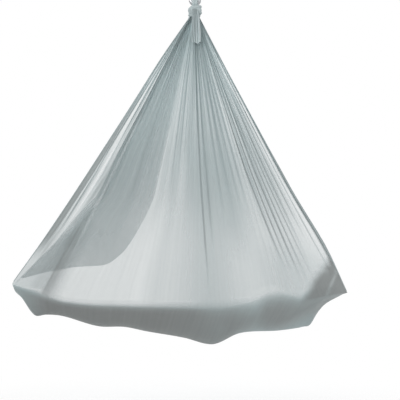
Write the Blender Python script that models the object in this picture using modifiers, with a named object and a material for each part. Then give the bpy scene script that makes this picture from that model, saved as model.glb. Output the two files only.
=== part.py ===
"""Aerial yoga hammock on a single-point swivel suspension. Metres, +Z up.

The origin is the middle of the ceiling plate's top face, where the hammock is fastened. X runs
along the fabric's width, from the foot end to the head end. Y runs from the front tail to the
rear tail. The fabric is shaped as it hangs in use: two panels fan out from their knots and one
trough joins them.
"""

import math

import bmesh
import bpy
import numpy as np
from mathutils import Matrix, Vector

# Clearance that touching pieces keep
GAP = 0.0003

# Ceiling plate and its screws
PLATE_SIDE = 0.100
PLATE_THICKNESS = 0.006
PLATE_CORNER_RADIUS = 0.014
SCREW_SPACING = 0.070
SCREW_DIAMETER = 0.010
SCREW_LENGTH = 0.060
SCREW_HEAD_WIDTH = 0.017
SCREW_HEAD_HEIGHT = 0.0065
SCREW_CLEARANCE = 0.0005
WASHER_DIAMETER = 0.021
WASHER_THICKNESS = 0.002

# Hanger eye, a bent rod welded into the plate
EYE_ROD_DIAMETER = 0.012
EYE_INNER_WIDTH = 0.034
EYE_INNER_DROP = 0.040
WELD_WIDTH = 0.0035
WELD_HEIGHT = 0.004

# Oval locking carabiner, measured on the centre line of its rod
CARABINER_ROD = 0.011
CARABINER_BOW_RADIUS = 0.0235
CARABINER_STRAIGHT = 0.050
GATE_PIN_HEIGHT = -0.019
GATE_TOP_GAP = 0.0008
GATE_PIN_DIAMETER = 0.0036
NOSE_SHOULDER = 0.021
NOSE_LENGTH = 0.0065
NOSE_THICKNESS = 0.004
NOSE_WIDTH = 0.0075
NOSE_OFFSET = 0.00075
TONGUE_THICKNESS = 0.0044
TONGUE_WIDTH = 0.009
SLEEVE_DIAMETER = 0.0152
SLEEVE_LENGTH = 0.022
SLEEVE_LOW = -0.0115
SLEEVE_FLUTES = 14
FLUTE_DEPTH = 0.0005
SPRING_BORE = 0.0056
SPRING_LENGTH = 0.010
SPRING_TURNS = 5
SPRING_WIRE = 0.0007
PLUNGER_LENGTH = 0.004

# Swivel
BAIL_ROD = 0.010
BAIL_INNER_WIDTH = 0.031
BAIL_CORNER_RADIUS = 0.012
UPPER_WINDOW = 0.026
LOWER_WINDOW = 0.030
SWIVEL_RADIUS = 0.026
UPPER_DISC_THICKNESS = 0.010
LOWER_DISC_THICKNESS = 0.016
SEAL_THICKNESS = 0.0014
SEAL_RADIUS = 0.018
AXLE_DIAMETER = 0.010
AXLE_HEAD_RADIUS = 0.0085
AXLE_HEAD_HEIGHT = 0.005
BEARING_DIAMETER = 0.024
BEARING_HEIGHT = 0.0084
NUT_WIDTH = 0.016
NUT_HEIGHT = 0.0065

# Lower carabiners, spread by the two knots
CARABINER_TILT = math.radians(11)
CARABINER_SIDE_GAP = 0.0007

# Knots and tails
KNOT_RADII = (0.030, 0.022, 0.024)
KNOT_DROP = 0.034
LOOP_THICKNESS = 0.008
LOOP_CLEARANCE = 0.0006
WRAP_THICKNESS = 0.0065
SKIRT_BOTTOM = 0.062
SKIRT_RADII = (0.022, 0.013)
TAIL_LENGTH = 0.160
TAIL_WIDTH = 0.046
TAIL_THICKNESS = 0.012
TAIL_DRAW_IN = 0.012

# Fabric: the fan's virtual apex, the drop from there to the lowest point, and where the panels' creases
# start and end along X
APEX_HEIGHT = -0.330
FABRIC_DROP = 1.538
FABRIC_THICKNESS = 0.004
FRONT_FOOT_X = -0.830
REAR_FOOT_X = -0.846
FRONT_HEAD_X = 0.667
REAR_HEAD_X = 0.715
HEAD_LET_OUT = 0.021
TROUGH_FOOT_X = -0.800
TROUGH_HEAD_X = 0.545
TROUGH_BULGE = 0.10
TROUGH_HEAD_LIFT = 1.0
TROUGH_HEAD_TUCK = 0.2
PLEAT_DEPTH = 0.010
PLEAT_REACH_FOOT = 0.28
PLEAT_REACH_HEAD = 0.62
FABRIC_COLUMNS = 28
PANEL_ROWS = (0.0, 0.07, 0.20, 0.42, 0.62, 0.80, 1.0)
TROUGH_ROWS = 8

# The trough along the width: its upper crease and its bottom as shares of the drop, and its half depth
CREASE = ((-0.846, 0.8199), (-0.7, 0.8407), (-0.63, 0.8609), (-0.53, 0.8706), (-0.3, 0.8752),
          (0.09, 0.8771), (0.24, 0.8615), (0.36, 0.8296), (0.48, 0.8518), (0.667, 0.8368),
          (0.715, 0.857))
BOTTOM = ((-0.83, 0.8401), (-0.782, 0.869), (-0.75, 0.905), (-0.725, 0.9165), (-0.685, 0.9125),
          (-0.62, 0.9148), (-0.44, 0.9467), (-0.32, 0.9486), (-0.225, 0.961), (-0.05, 0.9805),
          (0.075, 1.0), (0.2, 0.9675), (0.4, 0.9584), (0.5, 0.948), (0.528, 0.942), (0.545, 0.92))
HALF_DEPTH = ((-0.846, 0.030), (-0.70, 0.078), (-0.40, 0.135), (-0.20, 0.165), (0.0, 0.195),
              (0.25, 0.205), (0.667, 0.185))

# How far each panel's foot edge is drawn in, by share of the drop
FRONT_FOOT_BOW = ((0.03, 0.0), (0.13, 0.012), (0.27, 0.044), (0.42, 0.082), (0.525, 0.110),
                  (0.556, 0.115), (0.611, 0.087), (0.698, 0.063), (0.748, 0.037), (0.822, 0.0))
REAR_FOOT_BOW = ((0.03, -0.006), (0.13, -0.010), (0.27, -0.002), (0.42, 0.004), (0.60, 0.009),
                 (0.70, 0.008), (0.78, 0.003), (0.822, 0.0))


def clear_scene():
    for obj in list(bpy.data.objects):
        bpy.data.objects.remove(obj, do_unlink=True)


def new_collection(name):
    collection = bpy.data.collections.new(name)
    bpy.context.scene.collection.children.link(collection)
    return collection


def new_material(name, colour, roughness, metallic):
    material = bpy.data.materials.new(name)
    material.use_nodes = True
    shader = material.node_tree.nodes["Principled BSDF"]
    shader.inputs["Base Color"].default_value = (*colour, 1.0)
    shader.inputs["Roughness"].default_value = roughness
    shader.inputs["Metallic"].default_value = metallic
    return material


def add_object(name, mesh, collection, material=None):
    obj = bpy.data.objects.new(name, mesh)
    collection.objects.link(obj)
    if material:
        mesh.materials.clear()
        mesh.materials.append(material)
    return obj


def add_empty(name, location=(0, 0, 0), rotation=(0, 0, 0), parent=None):
    empty = bpy.data.objects.new(name, None)
    empty.empty_display_size = 0.02
    empty.location = location
    empty.rotation_euler = rotation
    empty.parent = parent
    PARTS.objects.link(empty)
    return empty


def mesh_from(build, name):
    """A mesh made by a function that fills a bmesh."""
    bm = bmesh.new()
    build(bm)
    bmesh.ops.recalc_face_normals(bm, faces=bm.faces)
    mesh = bpy.data.meshes.new(name)
    bm.to_mesh(mesh)
    bm.free()
    return mesh


def shade(obj):
    obj.data.shade_smooth()
    obj.data.set_sharp_from_angle(angle=math.radians(35))
    return obj


def cylinder(name, radius, low, high, centre=(0, 0), axis="Z", segments=24, top_radius=None):
    """A cylinder or cone from low to high along its axis, through centre on the other two axes."""
    length = high - low
    middle = (high + low) / 2
    turn = {"X": Matrix.Rotation(math.pi / 2, 4, "Y"), "Y": Matrix.Rotation(-math.pi / 2, 4, "X"),
            "Z": Matrix.Identity(4)}[axis]
    place = {"X": (middle, *centre), "Y": (centre[0], middle, centre[1]), "Z": (*centre, middle)}[axis]
    end = radius if top_radius is None else top_radius

    def build(bm):
        bmesh.ops.create_cone(bm, cap_ends=True, segments=segments, radius1=radius, radius2=end,
                              depth=length, matrix=Matrix.Translation(place) @ turn)
    return shade(add_object(name, mesh_from(build, name), TOOLS))


def box(name, low, high):
    size = [high[i] - low[i] for i in range(3)]
    middle = [(high[i] + low[i]) / 2 for i in range(3)]

    def build(bm):
        matrix = Matrix.Translation(middle) @ Matrix.Diagonal((*size, 1.0))
        bmesh.ops.create_cube(bm, size=1.0, matrix=matrix)
    return add_object(name, mesh_from(build, name), TOOLS)


def turned(name, profile, steps=32, closed=False):
    """A profile of (radius, height) turned round Z. It runs down its outer side."""
    mesh = bpy.data.meshes.new(name)
    edges = [(i, i + 1) for i in range(len(profile) - 1)]
    if closed:
        edges.append((len(profile) - 1, 0))
    mesh.from_pydata([(r, 0, z) for r, z in profile], edges, [])
    obj = add_object(name, mesh, TOOLS)
    screw = obj.modifiers.new("Turn", "SCREW")
    screw.axis = "Z"
    screw.steps = steps
    screw.render_steps = steps
    screw.use_merge_vertices = True
    screw.merge_threshold = 0.00001
    return obj


def baked(obj, name=None):
    """The object's evaluated mesh, with its modifiers and curve made real."""
    bpy.context.view_layer.update()
    graph = bpy.context.evaluated_depsgraph_get()
    mesh = bpy.data.meshes.new_from_object(obj.evaluated_get(graph), depsgraph=graph)
    bm = bmesh.new()
    bm.from_mesh(mesh)
    bmesh.ops.remove_doubles(bm, verts=bm.verts, dist=0.000001)
    bm.to_mesh(mesh)
    bm.free()
    mesh.transform(obj.matrix_world)
    label = name or obj.name
    bpy.data.objects.remove(obj, do_unlink=True)
    mesh.name = label
    return shade(add_object(label, mesh, TOOLS))


def tube(name, points, radius, sides=12, cyclic=False):
    """A round tube along points, as a mesh."""
    curve = bpy.data.curves.new(name, "CURVE")
    curve.dimensions = "3D"
    curve.bevel_depth = radius
    curve.bevel_resolution = (sides - 4) // 2
    curve.use_fill_caps = not cyclic
    spline = curve.splines.new("POLY")
    spline.points.add(len(points) - 1)
    for point, place in zip(spline.points, points):
        point.co = (*place, 1.0)
    spline.use_cyclic_u = cyclic
    return baked(add_object(name, curve, TOOLS))


def extruded(name, outlines, low, high, axis="Z"):
    """A flat outline with holes, from low to high along an axis. Y keeps X across and Z up."""
    curve = bpy.data.curves.new(name, "CURVE")
    curve.dimensions = "2D"
    curve.fill_mode = "BOTH"
    curve.extrude = (high - low) / 2
    for outline in outlines:
        spline = curve.splines.new("POLY")
        spline.points.add(len(outline) - 1)
        for point, place in zip(spline.points, outline):
            point.co = (place[0], place[1], 0.0, 1.0)
        spline.use_cyclic_u = True
    obj = add_object(name, curve, TOOLS)
    middle = (high + low) / 2
    if axis == "Y":
        obj.rotation_euler = (math.pi / 2, 0, 0)
        obj.location = (0, middle, 0)
    else:
        obj.location = (0, 0, middle)
    return baked(obj)


def circle(radius, centre=(0, 0), count=24):
    turns = [2 * math.pi * i / count for i in range(count)]
    return [(centre[0] + radius * math.cos(a), centre[1] + radius * math.sin(a)) for a in turns]


def arc(radius, centre, start, end, count):
    """Points on an arc, from start to end degrees, both ends included."""
    angles = [math.radians(start + (end - start) * i / count) for i in range(count + 1)]
    return [(centre[0] + radius * math.cos(a), centre[1] + radius * math.sin(a)) for a in angles]


def boolean(obj, other, operation):
    """Adds or removes another mesh, which becomes a hidden helper."""
    modifier = obj.modifiers.new(other.name, "BOOLEAN")
    modifier.operation = operation
    modifier.solver = "EXACT"
    modifier.object = other
    other.hide_render = True
    other.display_type = "WIRE"
    return obj


def join(obj, other):
    return boolean(obj, other, "UNION")


def cut(obj, other):
    return boolean(obj, other, "DIFFERENCE")


def finished(obj):
    """Makes a piece's Booleans real and clears away the helpers they used."""
    helpers = [modifier.object for modifier in obj.modifiers if modifier.type == "BOOLEAN"]
    made = baked(obj)
    for helper in helpers:
        bpy.data.objects.remove(helper, do_unlink=True)
    return made


def as_part(obj, material, parent=None, name=None, shared=None):
    """Moves a finished piece among the parts, or makes a copy that shares its mesh."""
    if shared:
        obj = bpy.data.objects.new(name, shared)
        PARTS.objects.link(obj)
    else:
        TOOLS.objects.unlink(obj)
        PARTS.objects.link(obj)
        obj.data.materials.clear()
        obj.data.materials.append(material)
    obj.parent = parent
    return obj


def make_plate():
    half = PLATE_SIDE / 2
    inset = half - PLATE_CORNER_RADIUS
    outline = []
    for quarter, (sx, sy) in enumerate(((1, 1), (-1, 1), (-1, -1), (1, -1))):
        outline += arc(PLATE_CORNER_RADIUS, (sx * inset, sy * inset), 90 * quarter, 90 * quarter + 90, 6)
    holes = [circle(SCREW_DIAMETER / 2 + SCREW_CLEARANCE, place, 16) for place in screw_places()]
    leg = EYE_INNER_WIDTH / 2 + EYE_ROD_DIAMETER / 2
    holes += [circle(EYE_ROD_DIAMETER / 2 + GAP, (0, side * leg), 18) for side in (-1, 1)]
    return extruded("ceiling_plate", [outline, *holes], -PLATE_THICKNESS, 0)


def screw_places():
    half = SCREW_SPACING / 2
    return [(-half, -half), (half, -half), (half, half), (-half, half)]


def make_hanger_eye():
    """A U of round rod. Its legs end just inside the plate, each with a ring of weld under it."""
    radius = (EYE_INNER_WIDTH + EYE_ROD_DIAMETER) / 2
    centre_z = EYE_ROD_Z + radius
    leg_top = -0.001
    bend = [(0, y, z) for y, z in arc(radius, (0, centre_z), 180, 360, 12)]
    points = [(0, -radius, leg_top), *bend, (0, radius, leg_top)]
    eye = tube("hanger_eye", points, EYE_ROD_DIAMETER / 2, sides=14)
    top = -PLATE_THICKNESS - GAP
    for side in (-1, 1):
        weld = cylinder(f"weld_{side}", EYE_ROD_DIAMETER / 2 - 0.0005, top - WELD_HEIGHT, top,
                        (0, side * radius), top_radius=EYE_ROD_DIAMETER / 2 + WELD_WIDTH)
        join(eye, weld)
    return finished(eye)


def make_screw():
    """A lag screw: hexagon head on a thin flange, plain shank, pointed end. Z is 0 under the head."""
    shank = SCREW_DIAMETER / 2
    head = cylinder("screw", SCREW_HEAD_WIDTH / math.sqrt(3), -SCREW_HEAD_HEIGHT, 0, segments=6)
    body = turned("screw_shank", [(0, SCREW_LENGTH), (0.001, SCREW_LENGTH - 0.001),
                                  (shank, SCREW_LENGTH - 0.012), (shank, -0.001), (0, -0.001)], 24)
    chamfer = turned("screw_chamfer", [(0, 0.001), (0.0120, 0.001), (0.0120, -SCREW_HEAD_HEIGHT + 0.0022),
                                       (0.0075, -SCREW_HEAD_HEIGHT - 0.0004), (0, -SCREW_HEAD_HEIGHT - 0.0004)])
    boolean(head, chamfer, "INTERSECT")
    join(head, body)
    return finished(head)


def make_washer():
    """A plain washer, its outer edge a little rounded on top."""
    inner = SCREW_DIAMETER / 2 + SCREW_CLEARANCE
    outer = WASHER_DIAMETER / 2
    edge = 0.0003
    profile = [(inner, WASHER_THICKNESS), (outer - edge, WASHER_THICKNESS),
               (outer, WASHER_THICKNESS - edge), (outer, 0), (inner, 0)]
    return baked(turned("washer", profile, 20, closed=True))


def carabiner_points():
    """The rod's centre line in XZ, from the hinge end round the bottom, spine and top to the nose."""
    half = CARABINER_STRAIGHT / 2
    radius = CARABINER_BOW_RADIUS
    bottom = arc(radius, (0, -half), 0, -180, 12)
    top = arc(radius, (0, half), 180, 0, 12)
    flat = [*bottom, (-radius, 0), *top, (radius, NOSE_SHOULDER)]
    return [(x, 0, z) for x, z in flat]


def rounded_end_plate(name, half_width, end_z, root_z, thickness):
    """A plate in XZ on the gate's line, square at its root and round at its end."""
    x = CARABINER_BOW_RADIUS
    up = 1 if end_z > root_z else -1
    centre_z = end_z - up * half_width
    outline = arc(half_width, (x, centre_z), 0, 180 * up, 10)
    outline += [(x - half_width, root_z), (x + half_width, root_z)]
    return extruded(name, [outline], -thickness / 2, thickness / 2, "Y")


def make_carabiner_body():
    """The C-shaped rod with a flat tongue for the hinge pin and a flat nose for the gate's slot."""
    x = CARABINER_BOW_RADIUS
    body = tube("carabiner_body", carabiner_points(), CARABINER_ROD / 2)
    hinge_end = -CARABINER_STRAIGHT / 2
    tongue = rounded_end_plate("tongue", TONGUE_WIDTH / 2, GATE_PIN_HEIGHT + TONGUE_WIDTH / 2,
                               hinge_end - 0.002, TONGUE_THICKNESS)
    low = NOSE_SHOULDER - NOSE_LENGTH
    nose_x = x + NOSE_OFFSET
    half = NOSE_WIDTH / 2
    edge = 0.001
    outline = [(nose_x - half, NOSE_SHOULDER + 0.002), (nose_x - half, low + edge),
               (nose_x - half + edge, low), (nose_x + half - edge, low),
               (nose_x + half, low + edge), (nose_x + half, NOSE_SHOULDER + 0.002)]
    nose = extruded("nose", [outline], -NOSE_THICKNESS / 2, NOSE_THICKNESS / 2, "Y")
    pin_hole = cylinder("tongue_hole", GATE_PIN_DIAMETER / 2 + GAP, -0.02, 0.02,
                        (x, GATE_PIN_HEIGHT), "Y", 16)
    join(body, tongue)
    join(body, nose)
    cut(body, pin_hole)
    return finished(body)


def make_gate():
    """A round bar, forked and rounded round its pin, with a blind slot that takes the nose."""
    x = CARABINER_BOW_RADIUS
    radius = CARABINER_ROD / 2
    top = NOSE_SHOULDER - GATE_TOP_GAP
    gate = cylinder("gate", radius, GATE_PIN_HEIGHT - radius - 0.001, top, (x, 0), segments=28)
    keep = rounded_end_plate("gate_outline", radius + 0.00001, GATE_PIN_HEIGHT - radius, top + 0.002, 0.014)
    boolean(gate, keep, "INTERSECT")
    fork = TONGUE_THICKNESS / 2 + GAP
    fork_top = GATE_PIN_HEIGHT + TONGUE_WIDTH / 2 + 0.001
    cut(gate, box("fork_slot", (x - 0.01, -fork, GATE_PIN_HEIGHT - 0.01), (x + 0.01, fork, fork_top)))
    slot = NOSE_THICKNESS / 2 + GAP
    slot_low = NOSE_SHOULDER - NOSE_LENGTH - GATE_TOP_GAP
    stop_x = x + NOSE_OFFSET - NOSE_WIDTH / 2 - GAP
    cut(gate, box("nose_slot", (stop_x, -slot, slot_low), (x + 0.01, slot, top + 0.01)))
    cut(gate, cylinder("pin_hole", GATE_PIN_DIAMETER / 2 + GAP, -0.02, 0.02, (x, GATE_PIN_HEIGHT), "Y", 16))
    bore_top = fork_top + SPRING_LENGTH + PLUNGER_LENGTH
    cut(gate, cylinder("spring_bore", SPRING_BORE / 2, fork_top - 0.001, bore_top, (x, 0), segments=16))
    return finished(gate)


def make_gate_pin():
    """A rivet through the fork and the tongue, a little domed at both ends."""
    radius = GATE_PIN_DIAMETER / 2
    half = CARABINER_ROD / 2 - 0.0002
    dome = 0.0003
    pin = turned("gate_pin", [(0, half), (radius - dome, half), (radius, half - dome),
                              (radius, -half + dome), (radius - dome, -half), (0, -half)], 16)
    pin.rotation_euler = (math.pi / 2, 0, 0)
    pin.location = (CARABINER_BOW_RADIUS, 0, GATE_PIN_HEIGHT)
    return baked(pin)


def make_sleeve():
    """A fluted screw sleeve round the gate."""
    x = CARABINER_BOW_RADIUS
    count = SLEEVE_FLUTES * 4
    outline = []
    for i in range(count):
        angle = 2 * math.pi * i / count
        radius = SLEEVE_DIAMETER / 2 - FLUTE_DEPTH * (0.5 - 0.5 * math.cos(SLEEVE_FLUTES * angle))
        outline.append((x + radius * math.cos(angle), radius * math.sin(angle)))
    hole = circle(CARABINER_ROD / 2 + GAP, (x, 0), 28)
    return extruded("sleeve", [outline, hole], SLEEVE_LOW, SLEEVE_LOW + SLEEVE_LENGTH)


def make_gate_spring():
    """A compression spring in the gate's bore."""
    wire = SPRING_WIRE / 2
    radius = SPRING_BORE / 2 - GAP - wire
    low = GATE_PIN_HEIGHT + TONGUE_WIDTH / 2 + 0.001 + PLUNGER_LENGTH
    rise = SPRING_LENGTH - 2 * wire - 2 * GAP
    steps = SPRING_TURNS * 8
    points = []
    for i in range(steps + 1):
        angle = 2 * math.pi * i / 8
        height = low + wire + GAP + rise * i / steps
        points.append((CARABINER_BOW_RADIUS + radius * math.cos(angle), radius * math.sin(angle), height))
    return tube("gate_spring", points, wire, sides=6)


def make_plunger():
    """The pusher between the spring and the tongue's round end."""
    radius = SPRING_BORE / 2 - GAP
    low = GATE_PIN_HEIGHT + TONGUE_WIDTH / 2 + 2 * GAP
    high = GATE_PIN_HEIGHT + TONGUE_WIDTH / 2 + 0.001 + PLUNGER_LENGTH - GAP
    nose_radius = TONGUE_THICKNESS / 2 - GAP
    step = GATE_PIN_HEIGHT + TONGUE_WIDTH / 2 + 0.001 + GAP
    plunger = turned("gate_plunger", [(0, high), (radius - 0.0003, high), (radius, high - 0.0003),
                                      (radius, step + 0.0006), (nose_radius, step), (nose_radius, low + 0.0004),
                                      (nose_radius - 0.0004, low), (0, low)], 16)
    plunger.location = (CARABINER_BOW_RADIUS, 0, 0)
    return baked(plunger)


def make_carabiner_meshes():
    """Every piece of one carabiner, in the carabiner's own frame. The gate's pieces lie about its pin."""
    pieces = {"body": make_carabiner_body(), "gate": make_gate(), "gate_pin": make_gate_pin(),
              "gate_spring": make_gate_spring(), "gate_plunger": make_plunger(), "sleeve": make_sleeve()}
    metals = {"body": ALUMINIUM, "gate": ALUMINIUM, "gate_pin": STEEL, "gate_spring": SPRING_STEEL,
              "gate_plunger": STEEL, "sleeve": SLEEVE_METAL}
    meshes = {}
    for key, piece in pieces.items():
        mesh = piece.data
        if key not in ("body", "gate_pin"):
            mesh.transform(Matrix.Translation((-CARABINER_BOW_RADIUS, 0, -GATE_PIN_HEIGHT)))
        mesh.materials.clear()
        mesh.materials.append(metals[key])
        meshes[key] = mesh
        bpy.data.objects.remove(piece, do_unlink=True)
    return meshes


def add_carabiner(name, meshes, frame):
    """One carabiner on an empty. Its gate, spring, plunger and sleeve hang on the gate's pin."""
    pin = add_empty(f"{name}_gate_axis", (CARABINER_BOW_RADIUS, 0, GATE_PIN_HEIGHT), parent=frame)
    for key, mesh in meshes.items():
        parent = frame if key in ("body", "gate_pin") else pin
        as_part(None, None, parent, f"{name}_carabiner_{key}", mesh)


def bail_points(window, inward):
    """A bail's centre line in YZ, from the disc out, across and back. inward is +1 when it opens up."""
    half = (BAIL_INNER_WIDTH + BAIL_ROD) / 2
    corner = BAIL_CORNER_RADIUS
    far = inward * (window + BAIL_ROD / 2)
    turn = far - inward * corner
    right = arc(corner, (half - corner, turn), 0, 90 * inward, 6)
    left = arc(corner, (corner - half, turn), 90 * inward, 180 * inward, 6)
    root = -inward * 0.004
    return [(0, y, z) for y, z in [(half, root), *right, *left, (-half, root)]]


def make_swivel_upper_eye():
    """The upper bail on its turned disc, bored for the axle. Z is 0 on the disc's top face."""
    radius = SWIVEL_RADIUS
    low = -UPPER_DISC_THICKNESS
    profile = [(0, 0), (radius - 0.004, 0), (radius - 0.001, -0.0015), (radius, -0.004),
               (radius, low + 0.0008), (radius - 0.0008, low), (0, low)]
    eye = baked(turned("swivel_upper_eye", profile, 36))
    join(eye, tube("upper_bail", bail_points(UPPER_WINDOW, 1), BAIL_ROD / 2))
    cut(eye, cylinder("upper_bore", AXLE_DIAMETER / 2 + GAP, -0.02, 0.004))
    return finished(eye)


def make_swivel_lower_eye():
    """The lower bail under its housing disc, with the bearing's seat. Z is 0 on the disc's lower face."""
    radius = SWIVEL_RADIUS
    high = LOWER_DISC_THICKNESS
    profile = [(0, high), (radius - 0.0008, high), (radius, high - 0.0008), (radius, 0.006),
               (radius - 0.001, 0.003), (radius - 0.005, 0), (0, 0)]
    eye = baked(turned("swivel_lower_eye", profile, 36))
    join(eye, tube("lower_bail", bail_points(LOWER_WINDOW, -1), BAIL_ROD / 2))
    cut(eye, cylinder("lower_bore", AXLE_DIAMETER / 2 + 2 * GAP, -0.01, 0.03))
    seat = BEARING_HEIGHT + GAP + 0.0003
    cut(eye, cylinder("bearing_seat", BEARING_DIAMETER / 2 + GAP, -0.003, seat, segments=32))
    return finished(eye)


def make_axle():
    """The swivel's bolt. Its domed head seats on the upper disc. Z is 0 under the head."""
    shank = AXLE_DIAMETER / 2
    head = AXLE_HEAD_HEIGHT
    wide = AXLE_HEAD_RADIUS
    profile = [(0, head), (wide * 0.45, head - 0.0004), (wide * 0.8, head - 0.0018), (wide, head - 0.0036),
               (wide, 0), (shank, 0), (shank, -AXLE_LENGTH + 0.0008), (shank - 0.0008, -AXLE_LENGTH),
               (0, -AXLE_LENGTH)]
    return baked(turned("swivel_axle", profile, 24))


def ring(name, inner, outer, height, steps=32, edge=0.0003):
    profile = [(inner, height), (outer - edge, height), (outer, height - edge), (outer, edge),
               (outer - edge, 0), (inner, 0)]
    return baked(turned(name, profile, steps, closed=True))


def make_nut():
    nut = cylinder("swivel_nut", NUT_WIDTH / math.sqrt(3), -NUT_HEIGHT, 0, segments=6)
    cut(nut, cylinder("nut_thread", AXLE_DIAMETER / 2 + GAP, -0.02, 0.02))
    return finished(nut)


def make_knot(name, side):
    """Fabric looped over a carabiner's lower rod, wrapped round itself and let out below.

    It is made about the rod's centre line, hanging along -Z. side is -1 for the front knot.
    """
    rod = CARABINER_ROD / 2
    loop_radius = rod + LOOP_CLEARANCE + LOOP_THICKNESS

    def ball(bm):
        place = Matrix.Translation((0, 0, -KNOT_DROP)) @ Matrix.Diagonal((*KNOT_RADII, 1.0))
        bmesh.ops.create_uvsphere(bm, u_segments=20, v_segments=12, radius=1.0, matrix=place)

    knot = shade(add_object(name, mesh_from(ball, name), TOOLS))
    around = [(0, y, z) for y, z in circle(loop_radius, count=16)]
    loop = tube("knot_loop", around, LOOP_THICKNESS, sides=10, cyclic=True)
    loop.data.transform(Matrix.Diagonal((1.4, 1.0, 1.0, 1.0)))
    join(knot, loop)
    for index, (height, lean, scale) in enumerate(((-0.025, 16, 0.97), (-0.041, -12, 1.0))):
        wrap_ring = [(KNOT_RADII[0] * 0.86 * scale * math.cos(a), KNOT_RADII[1] * 0.80 * scale * math.sin(a), 0)
                     for a in [2 * math.pi * i / 20 for i in range(20)]]
        wrap = tube(f"knot_wrap_{index}", wrap_ring, WRAP_THICKNESS, sides=8, cyclic=True)
        wrap.data.transform(Matrix.Translation((0, 0, height)) @ Matrix.Rotation(math.radians(lean * side), 4, "Y"))
        join(knot, wrap)
    skirt = cylinder("knot_skirt", SKIRT_RADII[0], -SKIRT_BOTTOM, -KNOT_DROP - 0.008, segments=20,
                     top_radius=SKIRT_RADII[0] * 0.8)
    skirt.data.transform(Matrix.Diagonal((1.0, SKIRT_RADII[1] / SKIRT_RADII[0], 1.0, 1.0)))
    join(knot, skirt)
    return finished(knot)


def make_tail(name, side):
    """The fabric's loose end, a flat gathered strip that leaves the knot's outer side and hangs down."""
    rows = 9
    across = 12
    clear_of_wraps = KNOT_RADII[1] * 0.80 + WRAP_THICKNESS + TAIL_THICKNESS * 0.61 + 2 * GAP
    top = Vector((0, side * clear_of_wraps, -KNOT_DROP - 0.004))

    def build(bm):
        rings = []
        for i in range(rows):
            t = i / (rows - 1)
            swell = 0.55 + 0.45 * t ** 0.6
            reach = -side * TAIL_DRAW_IN * t * t * (3 - 2 * t)
            centre = top + Vector((0.006 * math.sin(2.2 * t), reach, -TAIL_LENGTH * t))
            ring_points = []
            for j in range(across):
                angle = 2 * math.pi * j / across
                ripple = 1.0 + 0.22 * math.cos(4 * angle + 1.5 * t)
                x = centre.x + TAIL_WIDTH / 2 * swell * math.cos(angle)
                y = centre.y + TAIL_THICKNESS / 2 * ripple * math.sin(angle)
                ring_points.append(bm.verts.new((x, y, centre.z)))
            rings.append(ring_points)
        for lower, upper in zip(rings[1:], rings):
            for j in range(across):
                k = (j + 1) % across
                bm.faces.new((upper[j], upper[k], lower[k], lower[j]))
        bm.faces.new(rings[0])
        bm.faces.new(rings[-1][::-1])

    return shade(add_object(name, mesh_from(build, name), TOOLS))


def smooth_through(points, x):
    """A smooth curve through (x, value) points, flat-tangent limited so that it doesn't overshoot."""
    xs = np.array([p[0] for p in points])
    ys = np.array([p[1] for p in points])
    slopes = np.diff(ys) / np.diff(xs)
    tangents = np.concatenate([[slopes[0]], (slopes[:-1] + slopes[1:]) / 2, [slopes[-1]]])
    turns = slopes[:-1] * slopes[1:] <= 0
    tangents[1:-1][turns] = 0
    x = float(np.clip(x, xs[0], xs[-1]))
    i = int(np.clip(np.searchsorted(xs, x) - 1, 0, len(xs) - 2))
    width = xs[i + 1] - xs[i]
    t = (x - xs[i]) / width
    start = (1 + 2 * t) * (1 - t) ** 2 * ys[i] + t * (1 - t) ** 2 * width * tangents[i]
    end = t * t * (3 - 2 * t) * ys[i + 1] + t * t * (t - 1) * width * tangents[i + 1]
    return start + end


def column_shares():
    """Where the columns lie across the width. They are closer at the head end, where most folds are."""
    return [(i / (FABRIC_COLUMNS - 1)) ** 0.85 for i in range(FABRIC_COLUMNS)]


def foot_and_head(side):
    """Where a panel's crease starts and ends along X."""
    if side < 0:
        return FRONT_FOOT_X, FRONT_HEAD_X
    return REAR_FOOT_X, REAR_HEAD_X


def height_at(outline, x):
    """A height from an outline that gives shares of the drop."""
    return APEX_HEIGHT - FABRIC_DROP * smooth_through(outline, x)


def panel_point(share, t, side, pleat):
    """A point on the front (side -1) or rear (side 1) panel. t is 0 at the knot and 1 at the crease."""
    foot, head = foot_and_head(side)
    end_x = foot + (head - foot) * share
    end_z = height_at(CREASE, end_x)
    end_y = side * smooth_through(HALF_DEPTH, end_x)
    start_t = (PANEL_TOP_Z - APEX_HEIGHT) / (end_z - APEX_HEIGHT)
    along = start_t + (1 - start_t) * t
    z = APEX_HEIGHT + (end_z - APEX_HEIGHT) * along
    x = end_x * along + HEAD_LET_OUT * share ** 6 * math.exp(-((t - 0.85) / 0.15) ** 2)
    bow = FRONT_FOOT_BOW if side < 0 else REAR_FOOT_BOW
    x += smooth_through(bow, (APEX_HEIGHT - z) / FABRIC_DROP) * (1 - share) ** 3
    y = side * PANEL_TOP_Y + (end_y - side * PANEL_TOP_Y) * t
    reach = PLEAT_REACH_FOOT + (PLEAT_REACH_HEAD - PLEAT_REACH_FOOT) * share
    fade = math.exp(-((t - 0.12) / reach) ** 2) * min(1.0, 0.35 + 6 * t)
    return Vector((x, y + side * pleat * PLEAT_DEPTH * fade, z))


def ease(low, high, value):
    """From 0 at low to 1 at high, smoothly."""
    t = min(max((value - low) / (high - low), 0.0), 1.0)
    return t * t * (3 - 2 * t)


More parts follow.
